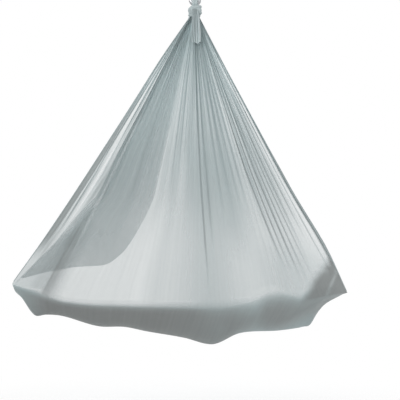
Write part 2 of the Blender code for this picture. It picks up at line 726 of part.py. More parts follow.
def trough_point(share, angle):
    """A point round the trough. angle is 0 at the front crease, 90 degrees at the bottom."""
    front = FRONT_FOOT_X + (FRONT_HEAD_X - FRONT_FOOT_X) * share
    rear = REAR_FOOT_X + (REAR_HEAD_X - REAR_FOOT_X) * share
    low = TROUGH_FOOT_X + (TROUGH_HEAD_X - TROUGH_FOOT_X) * share
    sine = math.sin(angle)
    side_x = rear + (front - rear) * (1 + math.cos(angle)) / 2
    crease_z = height_at(CREASE, side_x)
    depth = smooth_through(HALF_DEPTH, side_x)
    head = ease(0.82, 1.0, share)
    x = side_x + (low - side_x) * sine ** (2 - ease(0.0, 0.15, share) - TROUGH_HEAD_TUCK * head)
    y = -depth * math.cos(angle) * (1 + TROUGH_BULGE * math.sin(2 * min(angle, math.pi - angle)))
    z = crease_z + (height_at(BOTTOM, low) - crease_z) * sine ** (1 + TROUGH_HEAD_LIFT * head)
    return Vector((x, y, z))


def make_fabric():
    """The fabric as one sheet with a thickness: a loft of rows from the front knot to the rear knot."""
    rows = []
    shares = column_shares()
    pleats = [(1 if i % 2 else -1) * (0.72 + 0.28 * math.sin(2.4 * i)) for i in range(FABRIC_COLUMNS)]
    for t in PANEL_ROWS:
        rows.append([panel_point(s, t, -1, p) for s, p in zip(shares, pleats)])
    for i in range(1, TROUGH_ROWS):
        rows.append([trough_point(s, math.pi * i / TROUGH_ROWS) for s in shares])
    for t in reversed(PANEL_ROWS):
        rows.append([panel_point(s, t, 1, p) for s, p in zip(shares, pleats)])
    half = FABRIC_THICKNESS / 2

    def outward(i, j):
        """Away from the trough's inside: square to the rows, taken between the rows beside."""
        before = rows[max(i - 1, 0)][j]
        after = rows[min(i + 1, len(rows) - 1)][j]
        step = after - before
        normal = Vector((0, step.z, -step.y))
        return normal.normalized()

    def build(bm):
        skins = []
        for sign in (1, -1):
            skins.append([[bm.verts.new(point + sign * half * outward(i, j)) for j, point in enumerate(row)]
                          for i, row in enumerate(rows)])
        for skin in skins:
            for upper, lower in zip(skin, skin[1:]):
                for j in range(FABRIC_COLUMNS - 1):
                    bm.faces.new((upper[j], upper[j + 1], lower[j + 1], lower[j]))
        outer, inner = skins
        last = FABRIC_COLUMNS - 1
        border = [(0, j) for j in range(last)] + [(i, last) for i in range(len(rows) - 1)]
        border += [(len(rows) - 1, j) for j in range(last, 0, -1)] + [(i, 0) for i in range(len(rows) - 1, 0, -1)]
        for (i, j), (k, m) in zip(border, border[1:] + border[:1]):
            bm.faces.new((outer[i][j], outer[k][m], inner[k][m], inner[i][j]))

    mesh = mesh_from(build, "hammock_fabric")
    mesh.shade_smooth()
    return add_object("hammock_fabric", mesh, TOOLS)


# Heights down the suspension, each from the piece above it
EYE_ROD_Z = -PLATE_THICKNESS - EYE_INNER_DROP - EYE_ROD_DIAMETER / 2
CARABINER_LENGTH = CARABINER_STRAIGHT + 2 * CARABINER_BOW_RADIUS
UPPER_TOP_Z = EYE_ROD_Z + EYE_ROD_DIAMETER / 2 + GAP + CARABINER_ROD / 2
UPPER_CENTRE_Z = UPPER_TOP_Z - CARABINER_LENGTH / 2
UPPER_BOTTOM_Z = UPPER_TOP_Z - CARABINER_LENGTH
UPPER_BAIL_Z = UPPER_BOTTOM_Z + CARABINER_ROD / 2 + GAP + BAIL_ROD / 2
UPPER_DISC_TOP = UPPER_BAIL_Z - BAIL_ROD / 2 - UPPER_WINDOW
UPPER_DISC_LOW = UPPER_DISC_TOP - UPPER_DISC_THICKNESS
SEAL_LOW = UPPER_DISC_LOW - GAP - SEAL_THICKNESS
LOWER_DISC_TOP = SEAL_LOW - GAP
LOWER_DISC_LOW = LOWER_DISC_TOP - LOWER_DISC_THICKNESS
NUT_TOP = LOWER_DISC_LOW
AXLE_LENGTH = UPPER_DISC_TOP + GAP - NUT_TOP + NUT_HEIGHT + 0.0015
LOWER_BAIL_Z = LOWER_DISC_LOW - LOWER_WINDOW - BAIL_ROD / 2
LOWER_TOP_Z = LOWER_BAIL_Z + BAIL_ROD / 2 + GAP + CARABINER_ROD / 2
LOWER_TOP_Y = CARABINER_ROD / 2 + CARABINER_SIDE_GAP
LOWER_ROD_Y = LOWER_TOP_Y + CARABINER_LENGTH * math.sin(CARABINER_TILT)
LOWER_ROD_Z = LOWER_TOP_Z - CARABINER_LENGTH * math.cos(CARABINER_TILT)
PANEL_TOP_Z = LOWER_ROD_Z - SKIRT_BOTTOM * math.cos(CARABINER_TILT) - 0.006
PANEL_TOP_Y = LOWER_ROD_Y + SKIRT_BOTTOM * math.sin(CARABINER_TILT)

clear_scene()
PARTS = new_collection("aerial_yoga_hammock")
TOOLS = new_collection("cutters")
STEEL = new_material("zinc_steel", (0.62, 0.63, 0.64), 0.35, 1.0)
ALUMINIUM = new_material("anodised_aluminium", (0.50, 0.52, 0.54), 0.32, 1.0)
SLEEVE_METAL = new_material("dark_anodised_aluminium", (0.09, 0.10, 0.11), 0.40, 1.0)
SPRING_STEEL = new_material("spring_steel", (0.45, 0.45, 0.46), 0.30, 1.0)
SEAL_RUBBER = new_material("seal_rubber", (0.03, 0.03, 0.03), 0.75, 0.0)
FABRIC = new_material("sage_tricot", (0.45, 0.50, 0.50), 0.60, 0.0)


def build_ceiling_fitting():
    as_part(make_plate(), STEEL)
    as_part(make_hanger_eye(), STEEL)
    screw = make_screw().data
    washer = make_washer().data
    for mesh in (screw, washer):
        mesh.materials.clear()
        mesh.materials.append(STEEL)
    washer_z = -PLATE_THICKNESS - GAP - WASHER_THICKNESS
    for index, (x, y) in enumerate(screw_places(), 1):
        as_part(None, None, None, f"ceiling_screw_{index}", screw).location = (x, y, washer_z - GAP)
        as_part(None, None, None, f"screw_washer_{index}", washer).location = (x, y, washer_z)
    for obj in [o for o in TOOLS.objects if o.data in (screw, washer)]:
        bpy.data.objects.remove(obj, do_unlink=True)


def build_suspension():
    side_axis = add_empty("swing_side_axis", (0, 0, EYE_ROD_Z))
    upper = add_empty("upper_carabiner", (0, 0, UPPER_CENTRE_Z - EYE_ROD_Z), parent=side_axis)
    meshes = make_carabiner_meshes()
    add_carabiner("upper", meshes, upper)
    front_axis = add_empty("swing_front_axis", (0, 0, UPPER_BOTTOM_Z - EYE_ROD_Z), parent=side_axis)
    eye = as_part(make_swivel_upper_eye(), ALUMINIUM, front_axis)
    eye.location = (0, 0, UPPER_DISC_TOP - UPPER_BOTTOM_Z)
    axle = as_part(make_axle(), STEEL, front_axis)
    axle.location = (0, 0, UPPER_DISC_TOP + GAP - UPPER_BOTTOM_Z)
    nut = as_part(make_nut(), STEEL, front_axis)
    nut.location = (0, 0, NUT_TOP - UPPER_BOTTOM_Z)
    seal = as_part(ring("swivel_seal", AXLE_DIAMETER / 2 + GAP, SEAL_RADIUS, SEAL_THICKNESS), SEAL_RUBBER, front_axis)
    seal.location = (0, 0, SEAL_LOW - UPPER_BOTTOM_Z)
    spin_axis = add_empty("spin_axis", (0, 0, LOWER_DISC_LOW - UPPER_BOTTOM_Z), parent=front_axis)
    as_part(make_swivel_lower_eye(), ALUMINIUM, spin_axis)
    bearing = ring("swivel_bearing", AXLE_DIAMETER / 2 + GAP, BEARING_DIAMETER / 2, BEARING_HEIGHT)
    as_part(bearing, STEEL, spin_axis).location = (0, 0, GAP)
    for name, side, turn in (("front", -1, 0), ("rear", 1, math.pi)):
        build_tail_end(name, side, turn, meshes, spin_axis)
    return spin_axis


def build_tail_end(name, side, turn, meshes, spin_axis):
    """One lower carabiner with the knot that the fabric makes on it."""
    hang = add_empty(f"{name}_hang", (0, side * LOWER_TOP_Y, LOWER_TOP_Z - LOWER_DISC_LOW),
                     (side * CARABINER_TILT, 0, 0), spin_axis)
    frame = add_empty(f"{name}_carabiner", (0, 0, -CARABINER_LENGTH / 2), (0, 0, turn), hang)
    add_carabiner(name, meshes, frame)
    rod = add_empty(f"{name}_rod", (0, 0, -CARABINER_LENGTH), parent=hang)
    as_part(make_knot(f"{name}_knot", side), FABRIC, rod)
    as_part(make_tail(f"{name}_tail", side), FABRIC, rod)


build_ceiling_fitting()
SPIN_AXIS = build_suspension()
fabric = as_part(make_fabric(), FABRIC)
bpy.context.view_layer.update()
fabric.parent = SPIN_AXIS
fabric.matrix_parent_inverse = SPIN_AXIS.matrix_world.inverted()
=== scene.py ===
"""The looks of the aerial yoga hammock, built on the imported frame. Lengths are in metres."""
import math

import bpy
import numpy as np
from mathutils import Matrix, Vector


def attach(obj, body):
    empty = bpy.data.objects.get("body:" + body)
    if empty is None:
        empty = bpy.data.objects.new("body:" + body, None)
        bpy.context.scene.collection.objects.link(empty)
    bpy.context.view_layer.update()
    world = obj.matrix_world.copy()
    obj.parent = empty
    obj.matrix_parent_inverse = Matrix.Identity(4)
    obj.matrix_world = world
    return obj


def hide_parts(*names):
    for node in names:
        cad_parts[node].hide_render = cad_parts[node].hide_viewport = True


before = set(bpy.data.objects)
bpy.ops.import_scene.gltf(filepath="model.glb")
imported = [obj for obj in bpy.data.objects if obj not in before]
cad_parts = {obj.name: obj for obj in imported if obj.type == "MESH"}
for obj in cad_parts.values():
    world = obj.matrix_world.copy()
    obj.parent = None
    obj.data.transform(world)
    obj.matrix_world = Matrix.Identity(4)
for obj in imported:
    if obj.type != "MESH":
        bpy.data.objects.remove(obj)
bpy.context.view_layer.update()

# Shape of the sheet, the same values as in the part's source
APEX_HEIGHT = -0.330
FABRIC_DROP = 1.538
FRONT_FOOT_X = -0.830
REAR_FOOT_X = -0.846
FRONT_HEAD_X = 0.667
REAR_HEAD_X = 0.715
HEAD_LET_OUT = 0.021
HEAD_LET_OUT_AT = (0.85, 0.165)
HEAD_DRAWN_IN = 0.003
HEAD_DRAWN_IN_AT = (0.19, 0.22)
HEAD_BOW_POWER = 6
FOOT_BOW_POWER = 3
GATHER_POWER = 0.85
TROUGH_FOOT_X = -0.800
TROUGH_HEAD_X = 0.545
TROUGH_BULGE = 0.10
TROUGH_HEAD_LIFT = 0.5
PANEL_TOP_Z = -0.371679
PANEL_TOP_Y = 0.036539
CREASE = ((-0.846, 0.8199), (-0.7, 0.8407), (-0.63, 0.8609), (-0.53, 0.8706), (-0.3, 0.8752),
          (0.09, 0.8771), (0.24, 0.8615), (0.36, 0.8296), (0.48, 0.8518), (0.667, 0.8368),
          (0.715, 0.8570))
BOTTOM = ((-0.83, 0.8401), (-0.782, 0.869), (-0.75, 0.905), (-0.725, 0.9165), (-0.685, 0.9125),
          (-0.62, 0.9148), (-0.44, 0.9467), (-0.32, 0.9486), (-0.225, 0.961), (-0.05, 0.9805),
          (0.075, 1.0), (0.2, 0.9675), (0.4, 0.9584), (0.5, 0.948), (0.528, 0.942), (0.545, 0.92))
HALF_DEPTH = ((-0.846, 0.030), (-0.70, 0.078), (-0.40, 0.135), (-0.20, 0.165), (0.0, 0.195),
              (0.25, 0.205), (0.667, 0.185))

# How far each panel's foot edge is drawn in, by share of the drop
FRONT_FOOT_BOW = ((0.03, 0.005), (0.13, 0.023), (0.27, 0.052), (0.42, 0.082), (0.525, 0.110),
                  (0.556, 0.115), (0.611, 0.087), (0.698, 0.063), (0.748, 0.037), (0.822, 0.0))
REAR_FOOT_BOW = ((0.03, -0.006), (0.13, -0.010), (0.27, -0.002), (0.42, 0.004), (0.60, 0.009),
                 (0.70, 0.008), (0.78, 0.003), (0.822, 0.0))

# The view that the cloth's folds are placed in, and the camera's own: square-on from the front
VIEW_DISTANCE = 5.0
VIEW_X = 0.023
VIEW_Z = -1.206

# The knots hang on the lower carabiners' rods
ROD_Y = 0.024708
ROD_Z = -0.304818
ROD_RADIUS = 0.0055
CARABINER_TILT = math.radians(11)
KNOT_RADII = (0.030, 0.022, 0.024)
KNOT_DROP = 0.034
HEART_SHARE = 0.97
HEART_PLEATS = 26
LOOP_RADIUS = 0.0072
LOOP_PLACES = (-0.0062, 0.0062)
LOOP_GAP = 0.0008
RING_POINTS = 72

# The wraps: each one's height, lean in degrees and scale, and their rings against the knot's radii
WRAPS = ((-0.025, 16, 0.97), (-0.041, -12, 1.0))
WRAP_SHARES = (0.86, 0.80)
WRAP_RADIUS = 0.0066
WRAP_SAG = 0.0010

# The skirt below the wraps, from its start below the knot's middle
SKIRT_RADII = (0.0215, 0.0130)
SKIRT_START = 0.010
SKIRT_LENGTH = 0.022
SKIRT_PLEATS = 19

# The tails hang outside the wraps, and settle inwards towards their ends
TAIL_LENGTH = 0.160
TAIL_HALF_WIDTH = 0.0222
TAIL_THICKNESS = 0.0012
TAIL_CLEARANCE = 0.01442
TAIL_SETTLE = 0.012
TAIL_FOLD = 0.0045

# How finely the sheet is meshed
COLUMNS = 600
TROUGH_ROWS = 38
NECK_ROWS = 6
FLAP_ROWS = 110
FLAP_COLUMNS = 36
PANEL_STEPS = np.concatenate([np.linspace(0, 0.93, 48), np.linspace(0.94, 1.0, 10)])

# How much of the background one flat layer of the cloth hides, as an optical depth
LAYER_DEPTH = 0.60

# How dense the gathered cloth of the necks is against one flat layer
NECK_DENSITY = 8.0

# How light the gathered cloth of the necks, and of the knots and tails, is against flat cloth: painted
# light over the shade of their gathers
NECK_TONE = 1.7
KNOT_TONE = 1.25

# How much painted shade a fold puts into the cloth's colour, high up and low down
HIGH_FOLD_DARK = 0.34
LOW_FOLD_DARK = 0.19

# The density of the cloth in the trough: where it is pale, and what its band of painted shade adds
SLACK_DENSITY = 0.72
BAND_SHADE_DENSITY = 4.33

# How far the pleats, the waves and the folds stand out of a panel, and how many of the first two
PLEAT_HEIGHT = 0.0062
WAVE_HEIGHT = 0.008
FOLD_DEPTH = 0.0028
PLEAT_COUNT = 30
WAVE_COUNT = 9

# Width of the cloth's map, and of the hems' and knots'
MAP_WIDTH = 1.55
HEM_MAP_WIDTH = 0.03
KNOT_MAP = (0.08, 0.2)
TAIL_MAP_WIDTH = 0.16

# The folded hems' widths at the top, and how much wider they get further down
REAR_HEM = 0.006
REAR_HEM_GROWTH = 0.017
HEAD_HEM = 0.004
HEAD_HEM_GROWTH = 0.010

# The rolled edges on the hems: sides of their tubes, and how flat these are
HEM_SIDES = 10
HEM_FLATNESS = 0.65

# The turned-back layer: how far behind the front crease's plane it is sought, and its lowest height
FLAP_DEPTH = 0.155
FLAP_LOW_Z = -1.676

# Height of a panel, for the search of a place on it
PANEL_HEIGHT = 1.30


def grid_object(name, grids, material, across_closed=False, along_closed=False):
    """A mesh of quads through one or more grids of points, each (rows, columns, 3)."""
    grids = grids if isinstance(grids, list) else [grids]
    faces = []
    count = 0
    for points in grids:
        rows, columns = points.shape[:2]
        index = count + np.arange(rows * columns).reshape(rows, columns)
        count += rows * columns
        if across_closed:
            index = np.concatenate([index, index[:, :1]], axis=1)
        if along_closed:
            index = np.concatenate([index, index[:1]], axis=0)
        corners = (index[:-1, :-1], index[:-1, 1:], index[1:, 1:], index[1:, :-1])
        faces.append(np.stack([c.ravel() for c in corners], axis=1))
    mesh = bpy.data.meshes.new(name)
    points = np.concatenate([points.reshape(-1, 3) for points in grids])
    mesh.from_pydata(points.tolist(), [], np.concatenate(faces).tolist())
    mesh.shade_smooth()
    mesh.materials.append(material)
    obj = bpy.data.objects.new(name, mesh)
    bpy.context.scene.collection.objects.link(obj)
    return obj


def add_values(obj, name, values):
    """A number on each vertex, for the material to read."""
    layer = obj.data.attributes.new(name, "FLOAT", "POINT")
    layer.data.foreach_set("value", np.asarray(values, np.float32).ravel())


def add_map(obj, u, v):
    """A UV map in metres along the cloth."""
    mesh = obj.data
    layer = mesh.uv_layers.new(name="cloth")
    corner = np.zeros(len(mesh.loops), np.int32)
    mesh.loops.foreach_get("vertex_index", corner)
    pairs = np.stack([np.asarray(u).ravel()[corner], np.asarray(v).ravel()[corner]], axis=1)
    layer.data.foreach_set("uv", pairs.astype(np.float32).ravel())


def even_map(width, columns, length, rows):
    """u and v of an even grid of points."""
    return np.meshgrid(np.linspace(0, width, columns), np.linspace(0, length, rows))


def smooth_through(points, x):
    """The source's smooth curve through (x, value) points, for an array of x."""
    xs = np.array([p[0] for p in points])
    ys = np.array([p[1] for p in points])
    slopes = np.diff(ys) / np.diff(xs)
    tangents = np.concatenate([[slopes[0]], (slopes[:-1] + slopes[1:]) / 2, [slopes[-1]]])
    turns = slopes[:-1] * slopes[1:] <= 0
    tangents[1:-1][turns] = 0
    x = np.clip(x, xs[0], xs[-1])
    i = np.clip(np.searchsorted(xs, x) - 1, 0, len(xs) - 2)
    width = xs[i + 1] - xs[i]
    t = (x - xs[i]) / width
    start = (1 + 2 * t) * (1 - t) ** 2 * ys[i] + t * (1 - t) ** 2 * width * tangents[i]
    end = t * t * (3 - 2 * t) * ys[i + 1] + t * t * (t - 1) * width * tangents[i + 1]
    return start + end


def ease(low, high, x):
    t = np.clip((x - low) / (high - low), 0, 1)
    return t * t * (3 - 2 * t)


def bell(x, centre, width):
    return np.exp(-((x - centre) / width) ** 2)


def height_at(outline, x):
    return APEX_HEIGHT - FABRIC_DROP * smooth_through(outline, x)


def ends(side):
    """x of a panel's foot corner and head corner."""
    return (FRONT_FOOT_X, FRONT_HEAD_X) if side < 0 else (REAR_FOOT_X, REAR_HEAD_X)


def panel(side, share, t, ripple=0.0):
    """Points on the front (side -1) or rear (side 1) panel. ripple is outward."""
    foot, head = ends(side)
    end_x = foot + (head - foot) * share
    end_z = height_at(CREASE, end_x)
    end_y = side * smooth_through(HALF_DEPTH, end_x)
    start_t = (PANEL_TOP_Z - APEX_HEIGHT) / (end_z - APEX_HEIGHT)
    along = start_t + (1 - start_t) * t
    z = APEX_HEIGHT + (end_z - APEX_HEIGHT) * along
    head_bow = HEAD_LET_OUT * bell(t, *HEAD_LET_OUT_AT) - HEAD_DRAWN_IN * bell(t, *HEAD_DRAWN_IN_AT)
    x = end_x * along + share ** HEAD_BOW_POWER * head_bow
    foot_bow = FRONT_FOOT_BOW if side < 0 else REAR_FOOT_BOW
    x = x + smooth_through(foot_bow, (APEX_HEIGHT - z) / FABRIC_DROP) * (1 - share) ** FOOT_BOW_POWER
    y = side * PANEL_TOP_Y + (end_y - side * PANEL_TOP_Y) * t
    return np.stack([x, y + side * ripple, z], axis=-1)


def seen_place(points):
    """(slope, drop) as seen from the front: how far out per metre down, and how far below the apex."""
    scale = 1 + points[..., 1] / VIEW_DISTANCE
    x = VIEW_X + (points[..., 0] - VIEW_X) / scale
    drop = APEX_HEIGHT - (VIEW_Z + (points[..., 2] - VIEW_Z) / scale)
    return x / drop, drop


def trough(share, angle):
    """Points round the trough. angle is 0 at the front crease and pi at the rear one."""
    front = FRONT_FOOT_X + (FRONT_HEAD_X - FRONT_FOOT_X) * share
    rear = REAR_FOOT_X + (REAR_HEAD_X - REAR_FOOT_X) * share
    low = TROUGH_FOOT_X + (TROUGH_HEAD_X - TROUGH_FOOT_X) * share
    sine = np.sin(angle)
    side_x = rear + (front - rear) * (1 + np.cos(angle)) / 2
    crease_z = height_at(CREASE, side_x)
    depth = smooth_through(HALF_DEPTH, side_x)
    bulge = 1 + TROUGH_BULGE * np.sin(2 * np.minimum(angle, math.pi - angle))
    fall = sine + TROUGH_HEAD_LIFT * ease(0.82, 1.0, share) * (sine ** 6 - sine)
    x = side_x + (low - side_x) * sine ** (2 - ease(0.0, 0.15, share))
    y = -depth * np.cos(angle) * bulge
    z = crease_z + (height_at(BOTTOM, low) - crease_z) * fall
    return np.stack([x, y, z], axis=-1)


def pleats(slope, count, seed):
    """Irregular pleats across the fan, from -1 to 1."""
    where = slope + 0.010 * np.sin(23 * slope + seed) + 0.005 * np.sin(61 * slope + 2.1 * seed)
    phase = 2 * math.pi * count * where
    wave = np.sin(phase + 0.6 * np.sin(phase + seed))
    second = np.sin(1.73 * phase + 3 * np.sin(5 * slope + seed))
    strength = 0.62 + 0.38 * np.sin(13.7 * slope + 1.9 * seed)
    return 0.75 * wave * strength + 0.25 * second


# Lines in the cloth: slope at drops of 0.2, 0.75 and 1.2 m, half-width in metres, strength (above 0 a
# fold with painted shade, below 0 a pale stretch) and the drops where it starts and stops
FRONT_LINES = (
    (-0.556, -0.478, -0.530, 0.0035, 0.55, 0.00, 1.10),
    (-0.570, -0.500, -0.545, 0.0035, 0.60, 0.00, 1.12),
    (-0.545, -0.531, -0.560, 0.0040, 0.55, 0.60, 1.15),
    (-0.520, -0.465, -0.500, 0.0040, 0.25, 0.10, 1.00),
    (-0.485, -0.485, -0.485, 0.0200, 0.40, -0.20, 0.60),
    (-0.535, -0.522, -0.529, 0.0200, 0.75, 1.12, 1.62),
    (-0.520, -0.520, -0.503, 0.0360, 0.60, 1.00, 1.65),
    (-0.530, -0.5255, -0.5375, 0.0034, 0.95, 0.76, 1.42),
    (-0.520, -0.518, -0.515, 0.0028, 0.80, 0.50, 1.22),
    (-0.549, -0.549, -0.549, 0.0026, 0.45, 0.92, 1.26),
    (-0.497, -0.491, -0.480, 0.0024, 0.55, 0.40, 1.18),
    (-0.504, -0.502, -0.501, 0.0058, -1.15, 0.50, 1.22),
    (-0.540, -0.500, -0.575, 0.0260, 0.50, 1.00, 1.65),
    (-0.530, -0.520, -0.530, 0.0450, 0.30, 0.98, 1.60),
    (-0.150, -0.130, -0.200, 0.0300, -0.35, 0.85, 1.60),
    (-0.410, -0.350, -0.360, 0.0150, 0.20, 0.10, 1.05),
    (-0.330, -0.290, -0.300, 0.0100, 0.16, 0.10, 0.95),
    (-0.160, -0.134, -0.120, 0.0033, 0.60, 0.10, 0.98),
    (-0.120, -0.095, -0.080, 0.0050, 0.22, 0.05, 0.90),
    (-0.070, -0.070, -0.070, 0.0300, -0.35, 0.65, 1.05),
    (-0.180, -0.160, -0.150, 0.0200, -0.30, 0.30, 1.05),
    (-0.030, -0.020, -0.010, 0.0050, 0.25, 0.05, 1.00),
    (0.0145, 0.0335, 0.0480, 0.0038, 1.20, 0.00, 1.32),
    (0.0520, 0.0715, 0.0760, 0.0050, 0.85, 0.00, 1.15),
    (0.0850, 0.1040, 0.1070, 0.0040, 0.25, 0.00, 1.00),
    (0.1240, 0.1385, 0.1450, 0.0060, 0.80, 0.00, 1.02),
    (0.1630, 0.1885, 0.1970, 0.0075, 0.50, 0.00, 1.00),
    (0.2130, 0.2275, 0.2380, 0.0060, 0.85, 0.00, 1.02),
    (0.2460, 0.2625, 0.2640, 0.0065, 0.95, 0.00, 0.98),
    (0.2770, 0.2890, 0.2980, 0.0180, -0.30, 0.20, 1.10),
    (0.3010, 0.3165, 0.3490, 0.0036, 1.60, 0.00, 1.28),
    (0.3250, 0.3335, 0.3500, 0.0022, 0.60, 0.62, 1.16),
    (0.3340, 0.3450, 0.3680, 0.0033, 1.80, 0.00, 1.26),
    (0.3640, 0.3705, 0.3925, 0.0036, 1.90, 0.00, 1.30),
    (0.3790, 0.3945, 0.4144, 0.0033, 1.25, 0.45, 1.32),
    (0.4010, 0.4180, 0.4390, 0.0032, 1.15, 0.55, 1.30),
    (0.4270, 0.4395, 0.4560, 0.0033, 1.10, 0.40, 1.18),
    (0.4550, 0.4685, 0.4870, 0.0034, 1.50, 0.35, 1.14),
    (0.4812, 0.4980, 0.5170, 0.0030, 2.00, 0.10, 1.26),
    (0.4550, 0.4600, 0.4700, 0.0200, 0.45, -0.20, 0.50),
    (0.4730, 0.4890, 0.5070, 0.0060, -0.60, 0.20, 1.15),
    (0.5010, 0.5150, 0.5280, 0.0060, -0.80, 0.20, 1.20),
    (0.5000, 0.5120, 0.4980, 0.0240, -0.55, 0.60, 1.32),
)
REAR_LINES = (
    (-0.660, -0.622, -0.634, 0.0032, 0.60, 0.00, 1.20),
    (-0.640, -0.607, -0.622, 0.0032, 0.45, 0.00, 1.16),
    (-0.650, -0.614, -0.628, 0.0030, -0.45, 0.00, 1.14),
    (-0.606, -0.580, -0.588, 0.0120, -0.40, 0.00, 1.18),
    (-0.606, -0.580, -0.588, 0.0120, -0.32, 0.60, 1.18),
    (-0.625, -0.611, -0.606, 0.0040, 0.80, 0.05, 1.15),
    (-0.628, -0.6275, -0.6255, 0.0068, 0.55, 0.92, 1.28),
    (-0.594, -0.563, -0.550, 0.0035, 0.45, 0.05, 0.94),
    (-0.556, -0.543, -0.546, 0.0085, 0.50, 0.66, 1.04),
    (-0.590, -0.560, -0.610, 0.0032, 0.60, 0.05, 1.22),
    (-0.600, -0.528, -0.622, 0.0120, 0.45, 0.05, 1.25),
    (-0.575, -0.545, -0.620, 0.0060, -0.15, 0.30, 1.25),
    (-0.600, -0.600, -0.632, 0.0100, 0.70, 1.04, 1.26),
    (-0.45, -0.44, -0.43, 0.0060, 0.25, 0.05, 0.95),
    (-0.28, -0.27, -0.26, 0.0060, 0.25, 0.05, 0.85),
    (0.16, 0.17, 0.18, 0.0070, 0.25, 0.05, 0.85),
    (0.37, 0.38, 0.39, 0.0040, 0.70, 0.05, 1.15),
    (0.44, 0.45, 0.45, 0.0040, 0.65, 0.05, 1.05),
)


def line_sum(lines, slope, drop):
    total = np.zeros(np.broadcast(slope, drop).shape)
    for early, middle, late, half_width, strength, start, stop in lines:
        away = (slope - np.interp(drop, (0.2, 0.75, 1.2), (early, middle, late))) * drop
        shown = ease(start - 0.05, start + 0.10, drop) * (1 - ease(stop - 0.30, stop, drop))
        total += strength * shown * bell(away, 0, half_width * (0.55 + 0.45 * drop))
    return total


def fine_lines(lane, drop, seed):
    """Many faint lines down the cloth, stronger towards the head, that fade on the way."""
    head = ease(0.05, 0.45, lane)
    wave = 0.6 * np.sin(210 * lane + 4 * np.sin(21 * lane + seed))
    wave = wave + 0.6 * np.sin(337 * lane + 5 * np.sin(13 * lane))
    wave = 1.8 * (0.5 + 0.42 * wave).clip(0, 1) ** 3 - 0.45
    slow = np.sin(71 * lane + 2.5 * np.sin(9 * lane + 2 * seed)) + 0.6 * np.sin(129 * lane + seed)
    fade = (1 - (0.97 - 0.35 * head) * ease(0.35, 1.05, drop)) * (1 - 0.8 * ease(1.00, 1.20, drop))
    strong = 0.40 + 0.10 * head + 0.4 * head * (1 - ease(0.35, 0.75, drop))
    return strong * wave * fade + 0.12 * slow * (1 - 0.85 * ease(0.6, 1.1, drop))


def soft_start(drop):
    """How far the front panel's foot edge has faded out: 0 above, 1 where it fades most, 0.4 below."""
    return ease(0.84, 0.90, drop) * (1 - 0.6 * ease(1.00, 1.08, drop))


def front_foot_hem(from_foot, drop):
    """A thin band with a paler strip inside it. Low down the edge fades out."""
    hem = 0.7 * (1 - ease(0.008, 0.014, from_foot)) * (1 - ease(0.55, 0.75, drop))
    hem = hem - 0.32 * bell(from_foot, 0.022, 0.010) * (1 - ease(0.55, 0.80, drop))
    hem = hem * (1 - ease(0.78, 0.90, drop))
    return hem - 0.90 * (1 - ease(0.0, 0.040, from_foot)) * soft_start(drop)


def rear_foot_hem(from_foot, drop):
    """A dark band that gets wider, with a paler middle, and a thin line inside it."""
    wide = REAR_HEM + REAR_HEM_GROWTH * ease(0.15, 0.65, drop)
    hem = 1.55 * (1 - ease(wide - 0.003, wide + 0.003, from_foot))
    hem = hem + 0.40 * bell(from_foot, wide + 0.016, 0.0035)
    hem = hem - 0.45 * bell(from_foot, 0.55 * wide, 0.004) * ease(0.40, 0.70, drop)
    return hem * (0.65 + 0.35 * ease(0.20, 0.50, drop)) * (1 - 0.9 * ease(1.03, 1.16, drop))


def head_hem(from_head, drop):
    """A band that gets wider, with a line along its inner side and a pale strip past it."""
    wide = HEAD_HEM + HEAD_HEM_GROWTH * ease(0.35, 0.85, drop)
    hem = 1 - ease(wide, wide + 0.006, from_head) + 0.45 * bell(from_head, wide, 0.0035)
    hem = hem * (0.15 + 0.70 * ease(0.35, 0.85, drop)) - 0.70 * bell(from_head, wide + 0.014, 0.006)
    return hem * (1 - ease(1.10, 1.20, drop))


def hem_lines(side, x, drop):
    """The folded hems along a panel's foot edge and head edge."""
    foot_hem = front_foot_hem if side < 0 else rear_foot_hem
    return foot_hem(x - x[..., :1], drop) + head_hem(x[..., -1:] - x, drop)


# The painted shade of a fold near the head corner, and the painted highlight of the paler line behind
# it: x and drop of a place on each, and how steep it is
HEAD_FOLD = (0.566, 1.223, 1.42)
HEAD_FOLD_HIGHLIGHT = (0.5865, 1.363, 2.4)


def past(line, x, drop):
    """How far a place lies past a line, square to it."""
    line_x, line_drop, steepness = line
    return ((x - line_x) * steepness + (drop - line_drop)) / math.hypot(steepness, 1)


def head_fold_shade(slope, drop):
    """Painted shade of a soft fold that runs down and back from the head edge, darker and denser behind
    it, with a paler line as painted highlight. The mesh has no fold here.
    """
    x = slope * drop
    behind = past(HEAD_FOLD, x - 0.016 * ease(1.24, 1.31, drop), drop)
    beside = past(HEAD_FOLD_HIGHLIGHT, x, drop)
    return 2.1 * ease(-0.025, 0.025, behind) - 0.8 * bell(beside, 0, 0.006) * ease(0.0, 0.02, behind)


def lane_of(side, share):
    """A fan line's own number, the same all the way down it: about its slope."""
    foot, head = ends(side)
    return (foot + (head - foot) * share) / PANEL_HEIGHT


def lines_of(side):
    return FRONT_LINES if side < 0 else REAR_LINES


def panel_ripple(side, share, t):
    """How far the pleats and folds stand out of a panel, outward."""
    slope, drop = seen_place(panel(side, share, t))
    lane = lane_of(side, share)
    head = ease(0.0, 0.40, lane)
    reach = 0.24 + 0.22 * head
    fade = np.exp(-((t - 0.06) / reach) ** 2)
    fine = pleats(lane, PLEAT_COUNT, 0.7 if side < 0 else 2.9) * PLEAT_HEIGHT * fade
    coarse = pleats(lane, WAVE_COUNT, 1.9 if side < 0 else 4.1) * WAVE_HEIGHT * bell(t, 0.42, 0.36)
    start = ease(-0.02, 0.10, t)
    low = 1 - ease(0.80, 1.0, t)
    folds = FOLD_DEPTH * line_sum(lines_of(side), slope, drop).clip(-1, 1)
    return (fine * (0.45 + 0.55 * start) + coarse * start - folds) * (0.15 + 0.85 * low)


def gathered_share(values):
    """Columns closer at the head end, as the source has them."""
    return values ** GATHER_POWER


